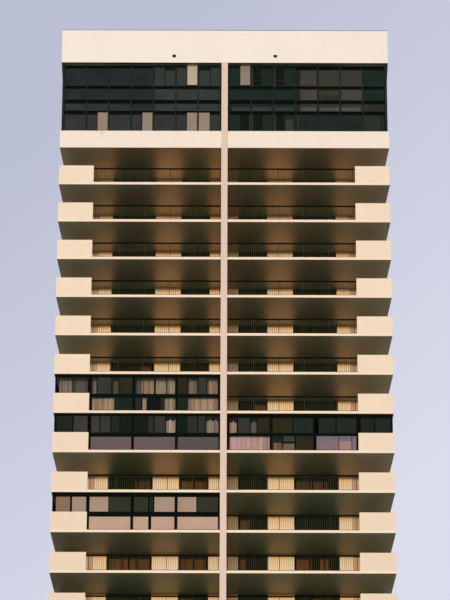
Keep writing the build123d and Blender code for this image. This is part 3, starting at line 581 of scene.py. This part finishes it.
def balusters(name, face, side):
    v, f = [], []
    y = face * (HALF_D - 0.10)
    xs = []
    for i, p in enumerate(POSTS):
        for k in range(1, 12):
            x = p + k * 1.535 / 12
            if x < 8.05:
                xs.append(x)
    for j in range(1, STOREYS + 1):
        if face < 0 and (j, side) in ENCLOSED:
            continue
        foot = slab_z(j) + SLAB
        for x in xs:
            add_box(v, f, side * x - BALUSTER / 2, side * x + BALUSTER / 2, y - BALUSTER_D / 2, y + BALUSTER_D / 2,
                    foot + 0.07, foot + 1.02)
    return piece(name, v, f, "bars", "railing_metal")


balusters("front_left_balusters", -1, -1)
balusters("front_right_balusters", -1, 1)
balusters("back_left_balusters", 1, -1)
balusters("back_right_balusters", 1, 1)


def handrails(name, face):
    v, f = [], []
    for side in (-1, 1):
        for j in range(1, STOREYS + 1):
            if face < 0 and (j, side) in ENCLOSED:
                continue
            z = slab_z(j) + SLAB + 1.070
            y = face * (HALF_D - 0.10)
            add_box(v, f, side * 0.22, side * 8.09, y - 0.034, y + 0.034, z, z + 0.022)
            for p in POSTS:                       # base plates
                add_box(v, f, side * p - 0.05, side * p + 0.05, y - 0.05, y + 0.05, slab_z(j) + SLAB, slab_z(j) + SLAB + 0.015)
    return piece(name, v, f, "rail", "railing_metal", bevel=0.003)


handrails("front_handrails", -1)
handrails("back_handrails", 1)

# ---------------------------------------------------------------------------
# sliding doors and windows of the open storeys
# ---------------------------------------------------------------------------
OPENINGS = [(0.88, 2.68, 2), (4.25, 6.96, 3)]
SET_BACK = 0.08


def sliding(vf, ff, vg, fg, x0, x1, face, z0, z1, leaves, frame_y):
    y0, y1 = face * frame_y, face * (frame_y - 0.10)
    t = 0.05
    add_box(vf, ff, x0, x1, y0, y1, z1 - 0.10, z1)
    add_box(vf, ff, x0, x1, y0, y1, z0, z0 + 0.04)
    add_box(vf, ff, x0, x0 + t, y0, y1, z0 + 0.04, z1 - 0.10)
    add_box(vf, ff, x1 - t, x1, y0, y1, z0 + 0.04, z1 - 0.10)
    w = (x1 - x0 - 2 * t + (leaves - 1) * 0.05) / leaves
    for i in range(leaves):
        a = x0 + t + i * (w - 0.05)
        ya = face * (frame_y - (0.02 if i % 2 == 0 else 0.055))
        yb = ya - face * 0.03
        add_box(vf, ff, a, a + 0.05, ya, yb, z0 + 0.04, z1 - 0.10)
        add_box(vf, ff, a + w - 0.05, a + w, ya, yb, z0 + 0.04, z1 - 0.10)
        add_box(vf, ff, a + 0.05, a + w - 0.05, ya, yb, z0 + 0.04, z0 + 0.12)
        add_box(vf, ff, a + 0.05, a + w - 0.05, ya, yb, z1 - 0.16, z1 - 0.10)
        ym = (ya + yb) / 2
        add_box(vg, fg, a + 0.045, a + w - 0.045, ym - 0.005, ym + 0.005, z0 + 0.115, z1 - 0.155)


def levels():
    yield 0, GROUND_SLAB, GROUND
    for j in range(1, STOREYS + 1):
        yield j, slab_z(j) + SLAB, slab_z(j) + STOREY


for face, word in ((-1, "front"), (1, "back")):
    vf, ff, vg, fg = [], [], [], []
    for j, z0, z1 in levels():
        for side in (-1, 1):
            for a, b, n in OPENINGS:
                x0, x1 = (a, b) if side > 0 else (-b, -a)
                sliding(vf, ff, vg, fg, x0, x1, face, z0, z1, n, wall_face(j, face) - SET_BACK)
    piece(f"{word}_sliding_door_frames", vf, ff, "door_frame", "enclosure_metal")
    piece(f"{word}_sliding_door_glass", vg, fg, "door_glass", "window_glass")

for side, word in ((-1, "left"), (1, "right")):
    vf, ff, vg, fg = [], [], [], []
    for j, z0, z1 in levels():
        z0 = z0 + 0.95
        for c in (-3.3, 3.3):
            y0, y1 = c - 0.9, c + 0.9
            xa, xb = side * (SIDE - 0.06), side * (SIDE - 0.14)
            add_box(vf, ff, xa, xb, y0, y1, z1 - 0.06, z1)
            add_box(vf, ff, side * (SIDE + 0.02), xb, y0, y1, z0, z0 + 0.05)
            add_box(vf, ff, xa, xb, y0, y0 + 0.05, z0 + 0.05, z1 - 0.06)
            add_box(vf, ff, xa, xb, y1 - 0.05, y1, z0 + 0.05, z1 - 0.06)
            add_box(vf, ff, xa, xb, c - 0.03, c + 0.03, z0 + 0.05, z1 - 0.06)
            for s in (-1, 1):
                add_box(vf, ff, xa - side * 0.01, xb + side * 0.01, c + s * 0.88 - 0.03, c + s * 0.88 + 0.03, z0 + 0.05, z1 - 0.06)
                ya, yb = (c - 0.86, c - 0.02) if s < 0 else (c + 0.02, c + 0.86)
                xm = side * (SIDE - (0.09 if s < 0 else 0.11))
                add_box(vg, fg, xm - 0.005, xm + 0.005, ya, yb, z0 + 0.05, z1 - 0.06)
    piece(f"{word}_window_frames", vf, ff, "door_frame", "enclosure_metal")
    piece(f"{word}_window_glass", vg, fg, "door_glass", "window_glass")

# ---------------------------------------------------------------------------
# curtains behind the sliding doors
# ---------------------------------------------------------------------------
DOOR_CURTAINS = {}


def door_curtain(face, j, x0, x1, colour, seed):
    z0, z1 = (GROUND_SLAB, GROUND) if j == 0 else (slab_z(j) + SLAB, slab_z(j) + STOREY)
    DOOR_CURTAINS.setdefault((face, colour, round(z1 - z0, 2)), []).append(
        dict(x0=min(x0, x1), x1=max(x0, x1), y=face * (wall_face(j, face) - SET_BACK - 0.22), z0=z0 + 0.05, z1=z1 - 0.12,
             pitch=0.17, depth=0.035, facing=face, seed=seed))


SEEN = {  # slab number: (from, to, colour) in real X, as the photograph shows them
    16: [(-5.35, -4.45, "cocoa"), (-2.55, -1.85, "rust"), (-1.75, -0.98, "brown"), (4.35, 5.35, "cocoa"), (5.45, 6.3, "cocoa")],
    14: [(-6.8, -5.7, "rust"), (-5.6, -4.4, "brown"), (-2.6, -1.85, "brown"), (-1.75, -1.05, "brown"), (0.98, 1.35, "brown"),
         (4.4, 5.3, "rust"), (5.8, 6.3, "rust")],
    15: [(1.0, 1.6, "brown")],
    18: [(1.9, 2.6, "brown")],
    13: [(-2.6, -1.9, "brown"), (5.4, 6.4, "rust")],
    19: [(-5.2, -4.5, "brown")],
}
n_seed = 100
for face in (-1, 1):
    for j in range(0, STOREYS + 1):
        if face < 0 and j in SEEN:
            for a, b, c in SEEN[j]:
                n_seed += 1
                door_curtain(face, j, a, b, c, n_seed)
            continue
        if face < 0 and 15 <= j <= 24:
            continue
        for side in (-1, 1):
            for a, b, n in OPENINGS:
                if rng.random() < 0.38:
                    w = (b - a) * rng.choice([0.3, 0.45, 0.6])
                    x0 = a + 0.08 if rng.random() < 0.5 else b - 0.08 - w
                    n_seed += 1
                    x0, x1 = (x0, x0 + w) if side > 0 else (-x0 - w, -x0)
                    door_curtain(face, j, x0, x1, rng.choice(["brown", "tan", "cream", "rust", "taupe"]), n_seed)
for (face, colour, drop), items in sorted(DOOR_CURTAINS.items()):
    for part in range(0, len(items), 12):
        hung(f"{'front' if face < 0 else 'back'}_door_curtains_{colour}_{int(drop * 100)}_{part // 12}", items[part:part + 12],
             colour, "window_glass")

# ---------------------------------------------------------------------------
# penthouse window wall: panes between the mullions, sashes, blinds
# ---------------------------------------------------------------------------
BAY = 1.396
MULL = [0.27 + i * BAY for i in range(7)] + [10.03]
ROWS = [(1.32, 2.73), (2.97, 3.56), (3.81, 4.67), (4.87, 6.34)]   # heights over the penthouse slab's underside
PANE_Y = HALF_D - 0.27 - 0.075


def pane_box(store, x0, x1, z0, z1, face, y=PANE_Y, t=0.02):
    v, f = store
    add_box(v, f, x0, x1, face * y, face * (y - t), PENT + z0, PENT + z1)


panes = {k: ([], []) for k in ("glass", "pale_pane", "warm_pane", "smoke", "haze", "moss", "ash", "iron", "vent",
                                   "jade", "dun", "lit_pane", "fog")}
sash, louvres, stiles, heads = ([], []), ([], []), ([], []), ([], [])
# side, bay from the fin, row: what fills it from the fin outwards, in equal parts or with its share of the bay
SPECIAL = {
    (1, 3, 3): [(0.0, 0.15, "glass"), (0.17, 1.0, "pale_pane")], (1, 4, 3): ["pale_pane"], (1, 5, 3): ["pale_pane"],
    (1, 3, 2): [(0.0, 0.15, "glass"), (0.17, 1.0, "warm_pane")], (1, 4, 2): ["iron"], (1, 5, 2): ["warm_pane"],
    (1, 3, 1): [(0.0, 0.15, "glass"), (0.17, 1.0, "dun")], (1, 4, 1): ["dun"], (1, 5, 1): ["dun"], (1, 6, 1): ["iron"],
    (1, 1, 3): [(0.06, 0.45, "slats"), (0.47, 1.0, "glass")], (1, 2, 3): [(0.08, 0.47, "slats"), (0.49, 1.0, "glass")],
    (1, 0, 3): [(0.0, 0.51, "glass"), (0.54, 0.99, "blind")],
    (1, 0, 0): [(0.0, 0.50, "glass"), (0.52, 0.94, "vent")], (1, 1, 0): [(0.06, 0.46, "vent"), (0.47, 1.0, "glass")],
    (1, 2, 0): [(0.08, 0.50, "vent"), (0.52, 1.0, "glass")], (1, 3, 0): [(0.0, 0.15, "fog"), (0.17, 1.0, "glass")],
    (1, 6, 0): [(0.0, 0.80, "iron"), (0.82, 1.0, "glass")],
    (-1, 1, 3): ["blind", "haze"], (-1, 0, 3): ["haze", "haze"], (-1, 2, 3): ["haze", "haze"],
    (-1, 0, 2): ["haze"], (-1, 1, 2): ["haze"], (-1, 2, 2): ["haze"], (-1, 0, 1): ["haze"], (-1, 1, 1): ["haze"],
    (-1, 2, 1): ["haze"], (-1, 4, 1): ["fog"], (-1, 5, 1): ["fog"], (-1, 6, 1): ["fog"],
    (-1, 0, 0): ["smoke", "blind"], (-1, 1, 0): ["blind", "smoke"], (-1, 2, 0): ["smoke"], (-1, 3, 0): ["blind", "smoke"],
    (-1, 4, 0): ["smoke"], (-1, 5, 0): ["blind", "smoke"], (-1, 6, 0): ["smoke"],
}
# panes whose head is a dark vent: side, bay, half
VENTS = {(-1, 2, 0), (-1, 0, 1)}
BLINDS, SHADED_BLINDS = ([], []), ([], [])
for face in (-1, 1):
    for side in (-1, 1):
        for b in range(7):
            a0, a1 = MULL[b] + 0.035, MULL[b + 1] - 0.035
            if b == 0:
                a0 = FIN
            for r, (z0, z1) in enumerate(ROWS):
                kinds = SPECIAL.get((side, b, r), ["glass"]) if face < 0 else ["glass"]
                kinds = [k if isinstance(k, tuple) else (i / len(kinds), (i + 1) / len(kinds), k) for i, k in enumerate(kinds)]
                if side > 0 and face < 0:
                    kinds = [(s0, s1, "jade" if k == "glass" else k) for s0, s1, k in kinds]
                # the outer bays have a deep black head, the sliding ones by the fin hardly any
                head = (0.0 if b < 3 else 0.19 if side > 0 else 0.10) if face < 0 else 0.10
                top = z1 - head if r == 3 else z1
                spans = []
                for i, (s0, s1, kind) in enumerate(kinds):
                    p0, p1 = a0 + s0 * (a1 - a0), a0 + s1 * (a1 - a0)
                    x0, x1 = sorted((side * p0, side * p1))
                    spans.append((x0, x1))
                    if kind == "blind":
                        # this sash and its blind stand out in front of the rails
                        low, high = (z0, z1 + 0.12) if r == 0 else (z0 + 0.10, z1 + 0.09)
                        v, f = BLINDS if side < 0 and r == 3 else SHADED_BLINDS
                        slats = int((high - low) / 0.09)
                        for n in range(slats):
                            zz = low + (high - low) * n / slats
                            add_box(v, f, x0 + 0.02, x1 - 0.02, face * (PANE_Y + 0.030), face * (PANE_Y + 0.015), PENT + zz + 0.003,
                                    PENT + zz + (high - low) / slats - 0.003)
                        if r == 3:
                            pane_box(panes["glass"], x0, x1, z0, top, face)
                    elif kind == "slats":
                        # open louvres over a dark room
                        pane_box(panes["vent"], x0, x1, z0, top, face, y=PANE_Y - 0.03)
                        v, f = louvres
                        for zz in (z0 + 0.02, z0 + 0.42, z0 + 0.98, top - 0.06):
                            add_box(v, f, x0, x1, face * (PANE_Y + 0.004), face * (PANE_Y - 0.01), PENT + zz, PENT + zz + 0.035)
                    elif face < 0 and r == 3 and (side, b, i) in VENTS:
                        pane_box(panes[kind], x0, x1, z0, top - 0.26, face)
                        pane_box(panes["vent"], x0, x1, top - 0.26, top, face)
                    else:
                        pane_box(panes[kind], x0, x1, z0, top, face)
                # wide stiles where a bay isn't all glass, and the black head over the top row
                v, f = stiles
                ends = [a0] + sorted([abs(e) for x in spans for e in x]) + [a1]
                for e0, e1 in zip(ends[0::2], ends[1::2]):
                    if e1 - e0 > 0.015:
                        q0, q1 = sorted((side * e0, side * e1))
                        add_box(v, f, q0, q1, face * (PANE_Y + 0.008), face * (PANE_Y - 0.03), PENT + z0, PENT + top)
                if r == 3 and head:
                    v, f = heads
                    q0, q1 = sorted((side * a0, side * a1))
                    add_box(v, f, q0, q1, face * (PANE_Y + 0.014), face * (PANE_Y - 0.03), PENT + top, PENT + 6.34)
                # thin sash frame round each pane
                v, f = sash
                q = 0.022
                fy0, fy1 = face * (PANE_Y + 0.012), face * (PANE_Y - 0.03)
                for x0, x1 in spans:
                    if len(spans) > 1:
                        add_box(v, f, x0, x0 + q, fy0, fy1, PENT + z0, PENT + top)
                        add_box(v, f, x1 - q, x1, fy0, fy1, PENT + z0, PENT + top)
                    add_box(v, f, x0 + q, x1 - q, fy0, fy1, PENT + z0, PENT + z0 + q)
                    add_box(v, f, x0 + q, x1 - q, fy0, fy1, PENT + top - q, PENT + top)
    # a pale board behind the glass at the foot of one bay, and a streak of light on another
for p0, p1, z0, z1, kind in ((285.6, 293.4, 1.35, 2.36, "pale_pane"), (232.2, 249.6, 3.00, 3.30, "haze"), (252.4, 271.6, 3.00, 3.30, "haze"),
                             (274.2, 293.6, 3.00, 3.30, "smoke"), (301.0, 316.0, 5.00, 6.05, "warm_pane"), (66.5, 80.0, 3.05, 3.52, "smoke"),
                             (300.6, 316.4, 3.00, 3.30, "lit_pane"), (319.4, 338.6, 3.00, 3.30, "lit_pane"),
                             (341.6, 360.8, 3.00, 3.30, "lit_pane"), (319.4, 338.2, 4.20, 4.52, "pale_pane")):
    zc = PENT + (z0 + z1) / 2
    x0, x1 = sorted((x_at(p0, zc, -PANE_Y), x_at(p1, zc, -PANE_Y)))
    pane_box(panes[kind], x0, x1, z0, z1, -1, y=PANE_Y + 0.006)
# the strip of glass behind the band and the closed heads
piece("penthouse_panes", *panes["glass"], "glass", "penthouse_glass", replaces=("penthouse_glass_front", "penthouse_glass_back"))
for kind, store_vf in panes.items():
    if kind != "glass" and store_vf[0]:
        piece(f"penthouse_panes_{kind}", *store_vf, kind, "penthouse_glass")
piece("penthouse_sashes", *sash, "green", "penthouse_metal")
piece("penthouse_louvres", *louvres, "green_frame_tint", "penthouse_glass")
piece("penthouse_stiles", *stiles, "green_frame_tint", "penthouse_metal")
piece("penthouse_heads", *heads, "black", "penthouse_metal")
piece("penthouse_blinds", *BLINDS, panel("blind_slats", scaled(lin(172, 156, 136), 1.12), rough=0.7), "penthouse_glass")
# these blinds are a darker copy of the same slats: painted shade
piece("penthouse_shaded_blinds", *SHADED_BLINDS, panel("shaded_blind_slats", scaled(lin(172, 152, 130), 0.62), rough=0.7),
      "penthouse_glass")

v, f = [], []
vs, fs = [], []
SIDE_END = HALF_D - 0.27 - 0.16
SIDE_BAY = 2 * SIDE_END / 12
SIDE_WINDOW = HALF_W - FLARE - 0.07
for side in (-1, 1):
    for b in range(12):
        y0 = -SIDE_END + b * SIDE_BAY + (0.07 if b == 0 else 0.035)
        y1 = -SIDE_END + (b + 1) * SIDE_BAY - (0.07 if b == 11 else 0.035)
        for z0, z1 in ROWS:
            xa = side * (SIDE_WINDOW - 0.075)
            add_box(v, f, xa, xa - side * 0.02, y0, y1, PENT + z0, PENT + z1)
            q = 0.022
            add_box(vs, fs, xa + side * 0.012, xa - side * 0.03, y0, y1, PENT + z0, PENT + z0 + q)
            add_box(vs, fs, xa + side * 0.012, xa - side * 0.03, y0, y1, PENT + z1 - q, PENT + z1)
piece("penthouse_side_panes", v, f, "glass", "penthouse_glass", replaces=("penthouse_glass_sides",))
piece("penthouse_side_sashes", vs, fs, "green", "penthouse_metal")

# ---------------------------------------------------------------------------
# enclosed balconies: panes, sashes, curtains, blinds, lower panels
# ---------------------------------------------------------------------------
PANE = HALF_D - 0.05 - 0.05       # face of the panes
# heights over the slab's underside: foot of the lower row, its head, foot of the upper row, its head
ENC_Z = {(18, -1): (0.24, 1.17, 1.38, 2.58), (17, -1): (0.24, 1.16, 1.41, 2.61), (17, 1): (0.24, 1.25, 1.41, 2.50),
         (15, -1): (0.24, 1.14, 1.44, 2.50)}

# column ranges in the photograph, what is there; per slab number and side
ENC = {
    (18, -1): dict(
        corner=[(59.1, 72.6, "curtain:sand"), (73.2, 87.8, "curtain:grey")],
        upper=[(91.6, 96.8, "curtain:sand"), (97.2, 111.6, "slate"), (111.9, 119.0, "curtain:grey"),
               (119.2, 133.4, "umber"), (134.9, 141.0, "curtain:grey"), (141.0, 154.2, "curtain:tan"), (155.6, 166.6, "curtain:cream"),
               (167.2, 175.4, "curtain:cream"), (177.0, 187.2, "umber"), (187.6, 197.4, "curtain:sand"), (197.8, 206.6, "slate"),
               (206.9, 218.2, "curtain:tan")],
        lower=[(91.4, 114.8, "curtain:honey"), (115.2, 133.4, "bottle"), (134.8, 141.4, "steel"), (141.8, 146.9, "curtain:honey"),
               (147.2, 160.2, "void"), (160.4, 163.6, "umber"), (164.0, 175.6, "curtain:cream"), (177.0, 187.0, "bottle"),
               (187.4, 218.2, "curtain:honey")]),
    (17, -1): dict(
        corner=[(56.5, 72.6, "moss"), (73.2, 87.8, "plum")],
        upper=[(91.0, 99.7, "plum"), (100.1, 110.4, "ash"), (110.7, 119.8, "moss"), (120.1, 131.6, "pine"),
               (133.8, 147.6, "pine"), (147.9, 153.8, "iron"), (154.2, 165.6, "ash"), (165.9, 175.6, "curtain:rose"),
               (177.0, 186.6, "pine"), (186.9, 197.2, "iron"), (197.6, 205.6, "iron"), (205.9, 218.6, "curtain:sand")],
        lower=[(90.2, 131.4, "slat:0"), (133.6, 175.2, "slat:0"), (177.4, 218.6, "slat:1")]),
    (17, 1): dict(
        upper=[(229.0, 237.0, "curtain:tan"), (237.6, 249.8, "ash"), (250.2, 257.0, "curtain:taupe"), (257.2, 270.2, "umber"),
               (272.4, 292.6, "umber"), (293.2, 315.0, "steel"), (318.4, 335.8, "steel"), (336.4, 358.2, "steel")],
        corner=[(360.6, 374.2, "moss"), (374.8, 393.0, "steel")],
        lower=[(229.2, 270.2, "curtain:pink"), (272.0, 282.6, "short:ember"), (283.0, 294.8, "sash"), (295.4, 313.8, "umber"),
               (316.2, 339.0, "lilac"), (339.0, 351.8, "lilac:board"), (351.8, 357.6, "lilac")]),
    (15, -1): dict(
        corner=[(55.6, 70.4, "roll:brown"), (71.6, 86.4, "roll:taupe")],
        upper=[(89.2, 108.6, "roll:tan"), (109.0, 131.4, "olive"), (133.6, 148.2, "olive"), (149.0, 153.4, "bottle"),
               (154.0, 175.0, "roll:tan"), (177.2, 196.6, "roll:tan"), (197.0, 218.4, "olive")],
        lower=[(88.6, 130.6, "flat"), (132.8, 148.6, "flat"), (150.8, 174.6, "flat"), (177.0, 218.2, "flat")]),
}
M["slat0"] = panel("slatted_panel_rose", scaled(lin(108, 93, 90), 0.60), lines=0.22, foot=scaled(lin(120, 84, 83), 0.60),
                   foot_z=slab_z(17) + 0.24, foot_h=0.9)
M["slat1"] = panel("slatted_panel_grey", scaled(lin(90, 80, 79), 0.58), lines=0.22, foot=scaled(lin(84, 70, 69), 0.58),
                   foot_z=slab_z(17) + 0.24, foot_h=0.9)
M["flat"] = panel("pink_beige_panel", scaled(lin(191, 155, 131), 0.85))
M["lilac"] = panel("lilac_panel", (0.1365, 0.095, 0.1246), foot=(0.177, 0.1087, 0.126),
                   foot_z=slab_z(17) + 0.24, foot_h=1.0)
M["board"] = panel("beige_board", scaled(lin(163, 131, 120), 0.81), rough=0.8)
M["roll_tan"] = panel("roller_blind_tan", scaled(lin(167, 143, 120), 0.84), rough=0.8)
M["roll_brown"] = panel("roller_blind_brown", scaled(lin(142, 112, 83), 0.78), rough=0.8)
M["roll_taupe"] = panel("roller_blind_taupe", scaled(lin(164, 140, 119), 0.81), rough=0.8)

store = {}
curtain_runs = {}


def put(key, *args):
    v, f = store.setdefault(key, ([], []))
    add_box(v, f, *args)


def skew(key, side, in0, in1, y0, y1, z0, z1):
    """Box along a balcony's end, which isn't square to the front."""
    v, f = store.setdefault(key, ([], []))
    n = len(v)
    for z in (z0, z1):
        for y, inset in ((y0, in1), (y0, in0), (y1, in0), (y1, in1)):
            v.append((side * (slab_end(y) - inset) * K, -y * K, z * K))
    quads = CUBE if side < 0 else [tuple(reversed(q)) for q in CUBE]
    f.extend([tuple(n + i for i in q) for q in quads])


for (j, side), rows in ENC.items():
    base = slab_z(j)
    foot, low_head, up_foot, up_head = ENC_Z[(j, side)]
    ya, yb = -PANE, -PANE + 0.02
    # transom and head rail in the plane of the panes
    put("frame", side * 0.20, side * 8.06, ya - 0.016, yb + 0.008, base + low_head, base + up_foot)
    corner_end = slab_end(PANE) - 0.07
    put("frame", side * 0.20, side * corner_end, ya - 0.016, yb + 0.008, base + up_head, base + STOREY - 0.004)
    for row, (h0, h1) in (("lower", (foot, low_head)), ("upper", (up_foot, up_head)), ("corner", (1.405, up_head))):
        for p0, p1, kind in rows[row]:
            zc = base + (h0 + h1) / 2
            x0, x1 = sorted((x_at(p0, zc, -PANE), x_at(p1, zc, -PANE)))
            lim = 10.13 if row == "corner" else 8.06
            x0, x1 = max(x0, -lim), min(x1, lim)
            z0, z1 = base + h0, base + h1
            q = 0.02
            # sash frame
            put("sash", x0, x0 + q, ya - 0.012, yb + 0.01, z0, z1)
            put("sash", x1 - q, x1, ya - 0.012, yb + 0.01, z0, z1)
            put("sash", x0 + q, x1 - q, ya - 0.012, yb + 0.01, z0, z0 + q)
            put("sash", x0 + q, x1 - q, ya - 0.012, yb + 0.01, z1 - q, z1)
            if kind.startswith("curtain:"):
                put("clear", x0 + q, x1 - q, ya, yb, z0 + q, z1 - q)
                # gathered curtains hang well behind the panes, from above the rail that shades their heads
                top_z = base + (up_foot + 0.02 if row == "lower" else STOREY - 0.04)
                low_z = base + (foot + 0.02 if row == "lower" else low_head + 0.06)
                back, scallop = (0.40 if row != "lower" else 0.16, 0.0) if j == 18 or row == "lower" else (0.12, 0.14)
                if scallop:
                    top_z = base + up_head - 0.16
                curtain_runs.setdefault((j, side, row, kind[8:]), []).append(
                    dict(x0=x0 + 0.01, x1=x1 - 0.01, y=-PANE + back, z0=low_z, z1=top_z, pitch=0.16, depth=0.045, facing=-1,
                         seed=int(p0 * 10), scallop=scallop))
            elif kind.startswith("short:"):
                # a short curtain on the lower part of a dark window
                put("clear", x0 + q, x1 - q, ya, yb, z0 + q, z1 - q)
                curtain_runs.setdefault((j, side, "short", kind[6:]), []).append(
                    dict(x0=x0 + 0.10, x1=x1 - 0.05, y=-PANE + 0.30, z0=base + 0.20, z1=base + 0.92, pitch=0.16, depth=0.03, facing=-1,
                         seed=int(p0 * 10)))
            elif kind.startswith("roll:"):
                put("roll_" + kind[5:], x0 + q, x1 - q, ya + 0.006, yb, z0 + q, z1 - q)
            elif kind == "lilac:board":
                # a beige board stands against the foot of the panel
                put("lilac", x0, x1, ya, yb, z0, z1)
                put("board", x0, x1, ya - 0.010, ya - 0.002, z0, z0 + 0.62)
            elif kind == "flat":
                put("flat", x0 + q * 0.5, x1 - q * 0.5, ya, yb, z0 - 0.02, z1)
            elif kind.startswith("slat:"):
                put("slat" + kind[5:], x0 + q, x1 - q, ya, yb, z0 - 0.02, z1)
            elif kind == "sash":
                # a window half open: its lower sash has slid up
                zm = z0 + (z1 - z0) * 0.52
                put("plum", x0 + q, x1 - q, ya + 0.006, yb, zm + 0.05, z1 - q)
                put("sash", x0, x1, ya - 0.012, yb + 0.01, zm - 0.06, zm + 0.06)
                put("grey_light", x0 + q, x1 - q, ya + 0.006, yb, z0 + q, zm - 0.06)
            else:
                put(kind, x0 + q, x1 - q, ya + 0.004, yb, z0 + q, z1 - q)
# glazed ends over the side parapets
for j, side in ENCLOSED:
    z0, z1 = slab_z(j) + 1.41, slab_z(j) + 2.58
    far = max(WALL, wall_face(j, -1)) + 0.12
    step = (PANE - 0.12 - far) / 3
    for k in range(3):
        ya, yb = far + k * step, far + (k + 1) * step - 0.02
        skew("olive" if (j + k) % 2 else "ash", side, 0.065, 0.085, ya + 0.03, yb - 0.03, z0 + 0.03, z1 - 0.03)
        for a, b, c, d in ((ya, ya + 0.03, z0, z1), (yb - 0.03, yb, z0, z1), (ya, yb, z0, z0 + 0.03), (ya, yb, z1 - 0.03, z1)):
            skew("sash", side, 0.06, 0.10, a, b, c, d)
SLOTS = {"sash": "enclosure_metal", "frame": "enclosure_metal", "slat0": "enclosure_panel", "slat1": "enclosure_panel",
         "flat": "enclosure_panel", "lilac": "enclosure_panel", "board": "enclosure_panel"}
for key, (v, f) in store.items():
    name = "enclosure_" + {"sash": "sashes", "frame": "transoms", "clear": "clear_panes", "flat": "beige_panels"}.get(key, key)
    piece(name, v, f, {"sash": "green", "frame": "black"}.get(key, key), SLOTS.get(key, "window_glass"),
          replaces=("enclosure_panels", "enclosure_glass", "enclosure_end_glass") if key == "sash" else ())
for (j, side, row, colour), items in curtain_runs.items():
    hung(f"storey_{j}_{'left' if side < 0 else 'right'}_{row}_curtains_{colour}", items, colour, "window_glass")

# ---------------------------------------------------------------------------
# roof edge: a coping on the fascia
# ---------------------------------------------------------------------------
v, f = [], []
zt = PENT + 8.95
for (x0, x1, y0, y1) in ((-10.25, 10.25, -9.0, -8.78), (-10.25, 10.25, 8.78, 9.0), (-10.25, -10.03, -8.78, 8.78), (10.03, 10.25, -8.78, 8.78)):
    add_box(v, f, x0, x1, y0, y1, zt - 0.03, zt)
piece("roof_coping", v, f, "fascia", "painted_stucco")

v, f = [], []
for face in (-1, 1):
    for side in (-1, 1):
        xc, zc, h, t = side * 3.18, PENT + 6.95, 0.11, 0.012
        y0, y1 = face * HALF_D, face * (HALF_D - 0.20)
        add_box(v, f, xc - h, xc + h, y0, y1, zc - h, zc - h + t)
        add_box(v, f, xc - h, xc + h, y0, y1, zc + h - t, zc + h)
        add_box(v, f, xc - h, xc - h + t, y0, y1, zc - h + t, zc + h - t)
        add_box(v, f, xc + h - t, xc + h, y0, y1, zc - h + t, zc + h - t)
        for k in range(6):                     # leaf grating just inside the mouth
            xg = xc - h + t + (k + 0.5) * (2 * (h - t)) / 6
            add_box(v, f, xg - 0.014, xg + 0.014, face * (HALF_D - 0.03), face * (HALF_D - 0.05), zc - h + t, zc + h - t)
piece("scupper_linings", v, f, "black", "painted_stucco")

# ---------------------------------------------------------------------------
# stage, light
# ---------------------------------------------------------------------------
me = bpy.data.meshes.new("floor")
n = 160
R = 34.0
me.from_pydata([(R * math.cos(2 * math.pi * i / n), R * math.sin(2 * math.pi * i / n), -0.002) for i in range(n)], [], [tuple(range(n))])
fm, fnt, fb, fo = new_mat("floor_pale")
fb.inputs["Base Color"].default_value = (0.74, 0.74, 0.77, 1.0)
fb.inputs["Roughness"].default_value = 0.9
me.materials.append(fm)
floor = bpy.data.objects.new("floor", me)
bpy.context.scene.collection.objects.link(floor)


def sun(name, azimuth, elevation, strength, colour, angle):
    """azimuth 0 shines from the front (-Y), positive from the right (+X)."""
    d = bpy.data.lights.new(name, "SUN")
    d.energy = strength
    d.color = colour
    d.angle = math.radians(angle)
    o = bpy.data.objects.new(name, d)
    a, e = math.radians(azimuth), math.radians(elevation)
    frm = Vector((math.sin(a) * math.cos(e), -math.cos(a) * math.cos(e), math.sin(e)))
    o.rotation_euler = (-frm).to_track_quat("-Z", "Y").to_euler()
    bpy.context.scene.collection.objects.link(o)
    return o


sun("key", -15.0, 3.0, 1.65, (1.0, 0.955, 0.90), 4.0)
broad = sun("broad", 4.0, 3.0, 1.30, (1.0, 0.955, 0.90), 80.0)
broad.visible_glossy = False
sun("fill_back", 150.0, 22.0, 1.3, (1.0, 0.97, 0.94), 12.0)
sun("top", 20.0, 75.0, 0.8, (0.96, 0.97, 1.0), 20.0)

world = bpy.data.worlds.new("sky")
bpy.context.scene.world = world
world.use_nodes = True
wt = world.node_tree
wt.nodes.clear()
wo = wt.nodes.new("ShaderNodeOutputWorld")
tc = wt.nodes.new("ShaderNodeTexCoord")
sep = wt.nodes.new("ShaderNodeSeparateXYZ")
wt.links.new(tc.outputs["Generated"], sep.inputs[0])
hz = wt.nodes.new("ShaderNodeMapRange")
hz.inputs["From Min"].default_value = math.sin(math.radians(36.0))
hz.inputs["From Max"].default_value = math.sin(math.radians(28.5))
wt.links.new(sep.outputs[2], hz.inputs["Value"])
skew = maths(wt, "ADD", hz.outputs["Result"], maths(wt, "MULTIPLY", sep.outputs[0], 6.0), clamp=True)
sky = rgb_mix(wt, skew, lin(187, 191, 212), lin(220, 221, 236))
bg_cam = wt.nodes.new("ShaderNodeBackground")
wt.links.new(sky, bg_cam.inputs["Color"])
bg_cam.inputs["Strength"].default_value = 1.0
bg_light = wt.nodes.new("ShaderNodeBackground")
bg_light.inputs["Color"].default_value = (0.62, 0.64, 0.76, 1.0)
bg_light.inputs["Strength"].default_value = 0.30
lp = wt.nodes.new("ShaderNodeLightPath")
mx = wt.nodes.new("ShaderNodeMixShader")
wt.links.new(lp.outputs["Is Camera Ray"], mx.inputs[0])
wt.links.new(bg_light.outputs[0], mx.inputs[1])
wt.links.new(bg_cam.outputs[0], mx.inputs[2])
wt.links.new(mx.outputs[0], wo.inputs["Surface"])

bpy.context.scene.view_settings.view_transform = "Standard"
bpy.context.scene.view_settings.look = "None"
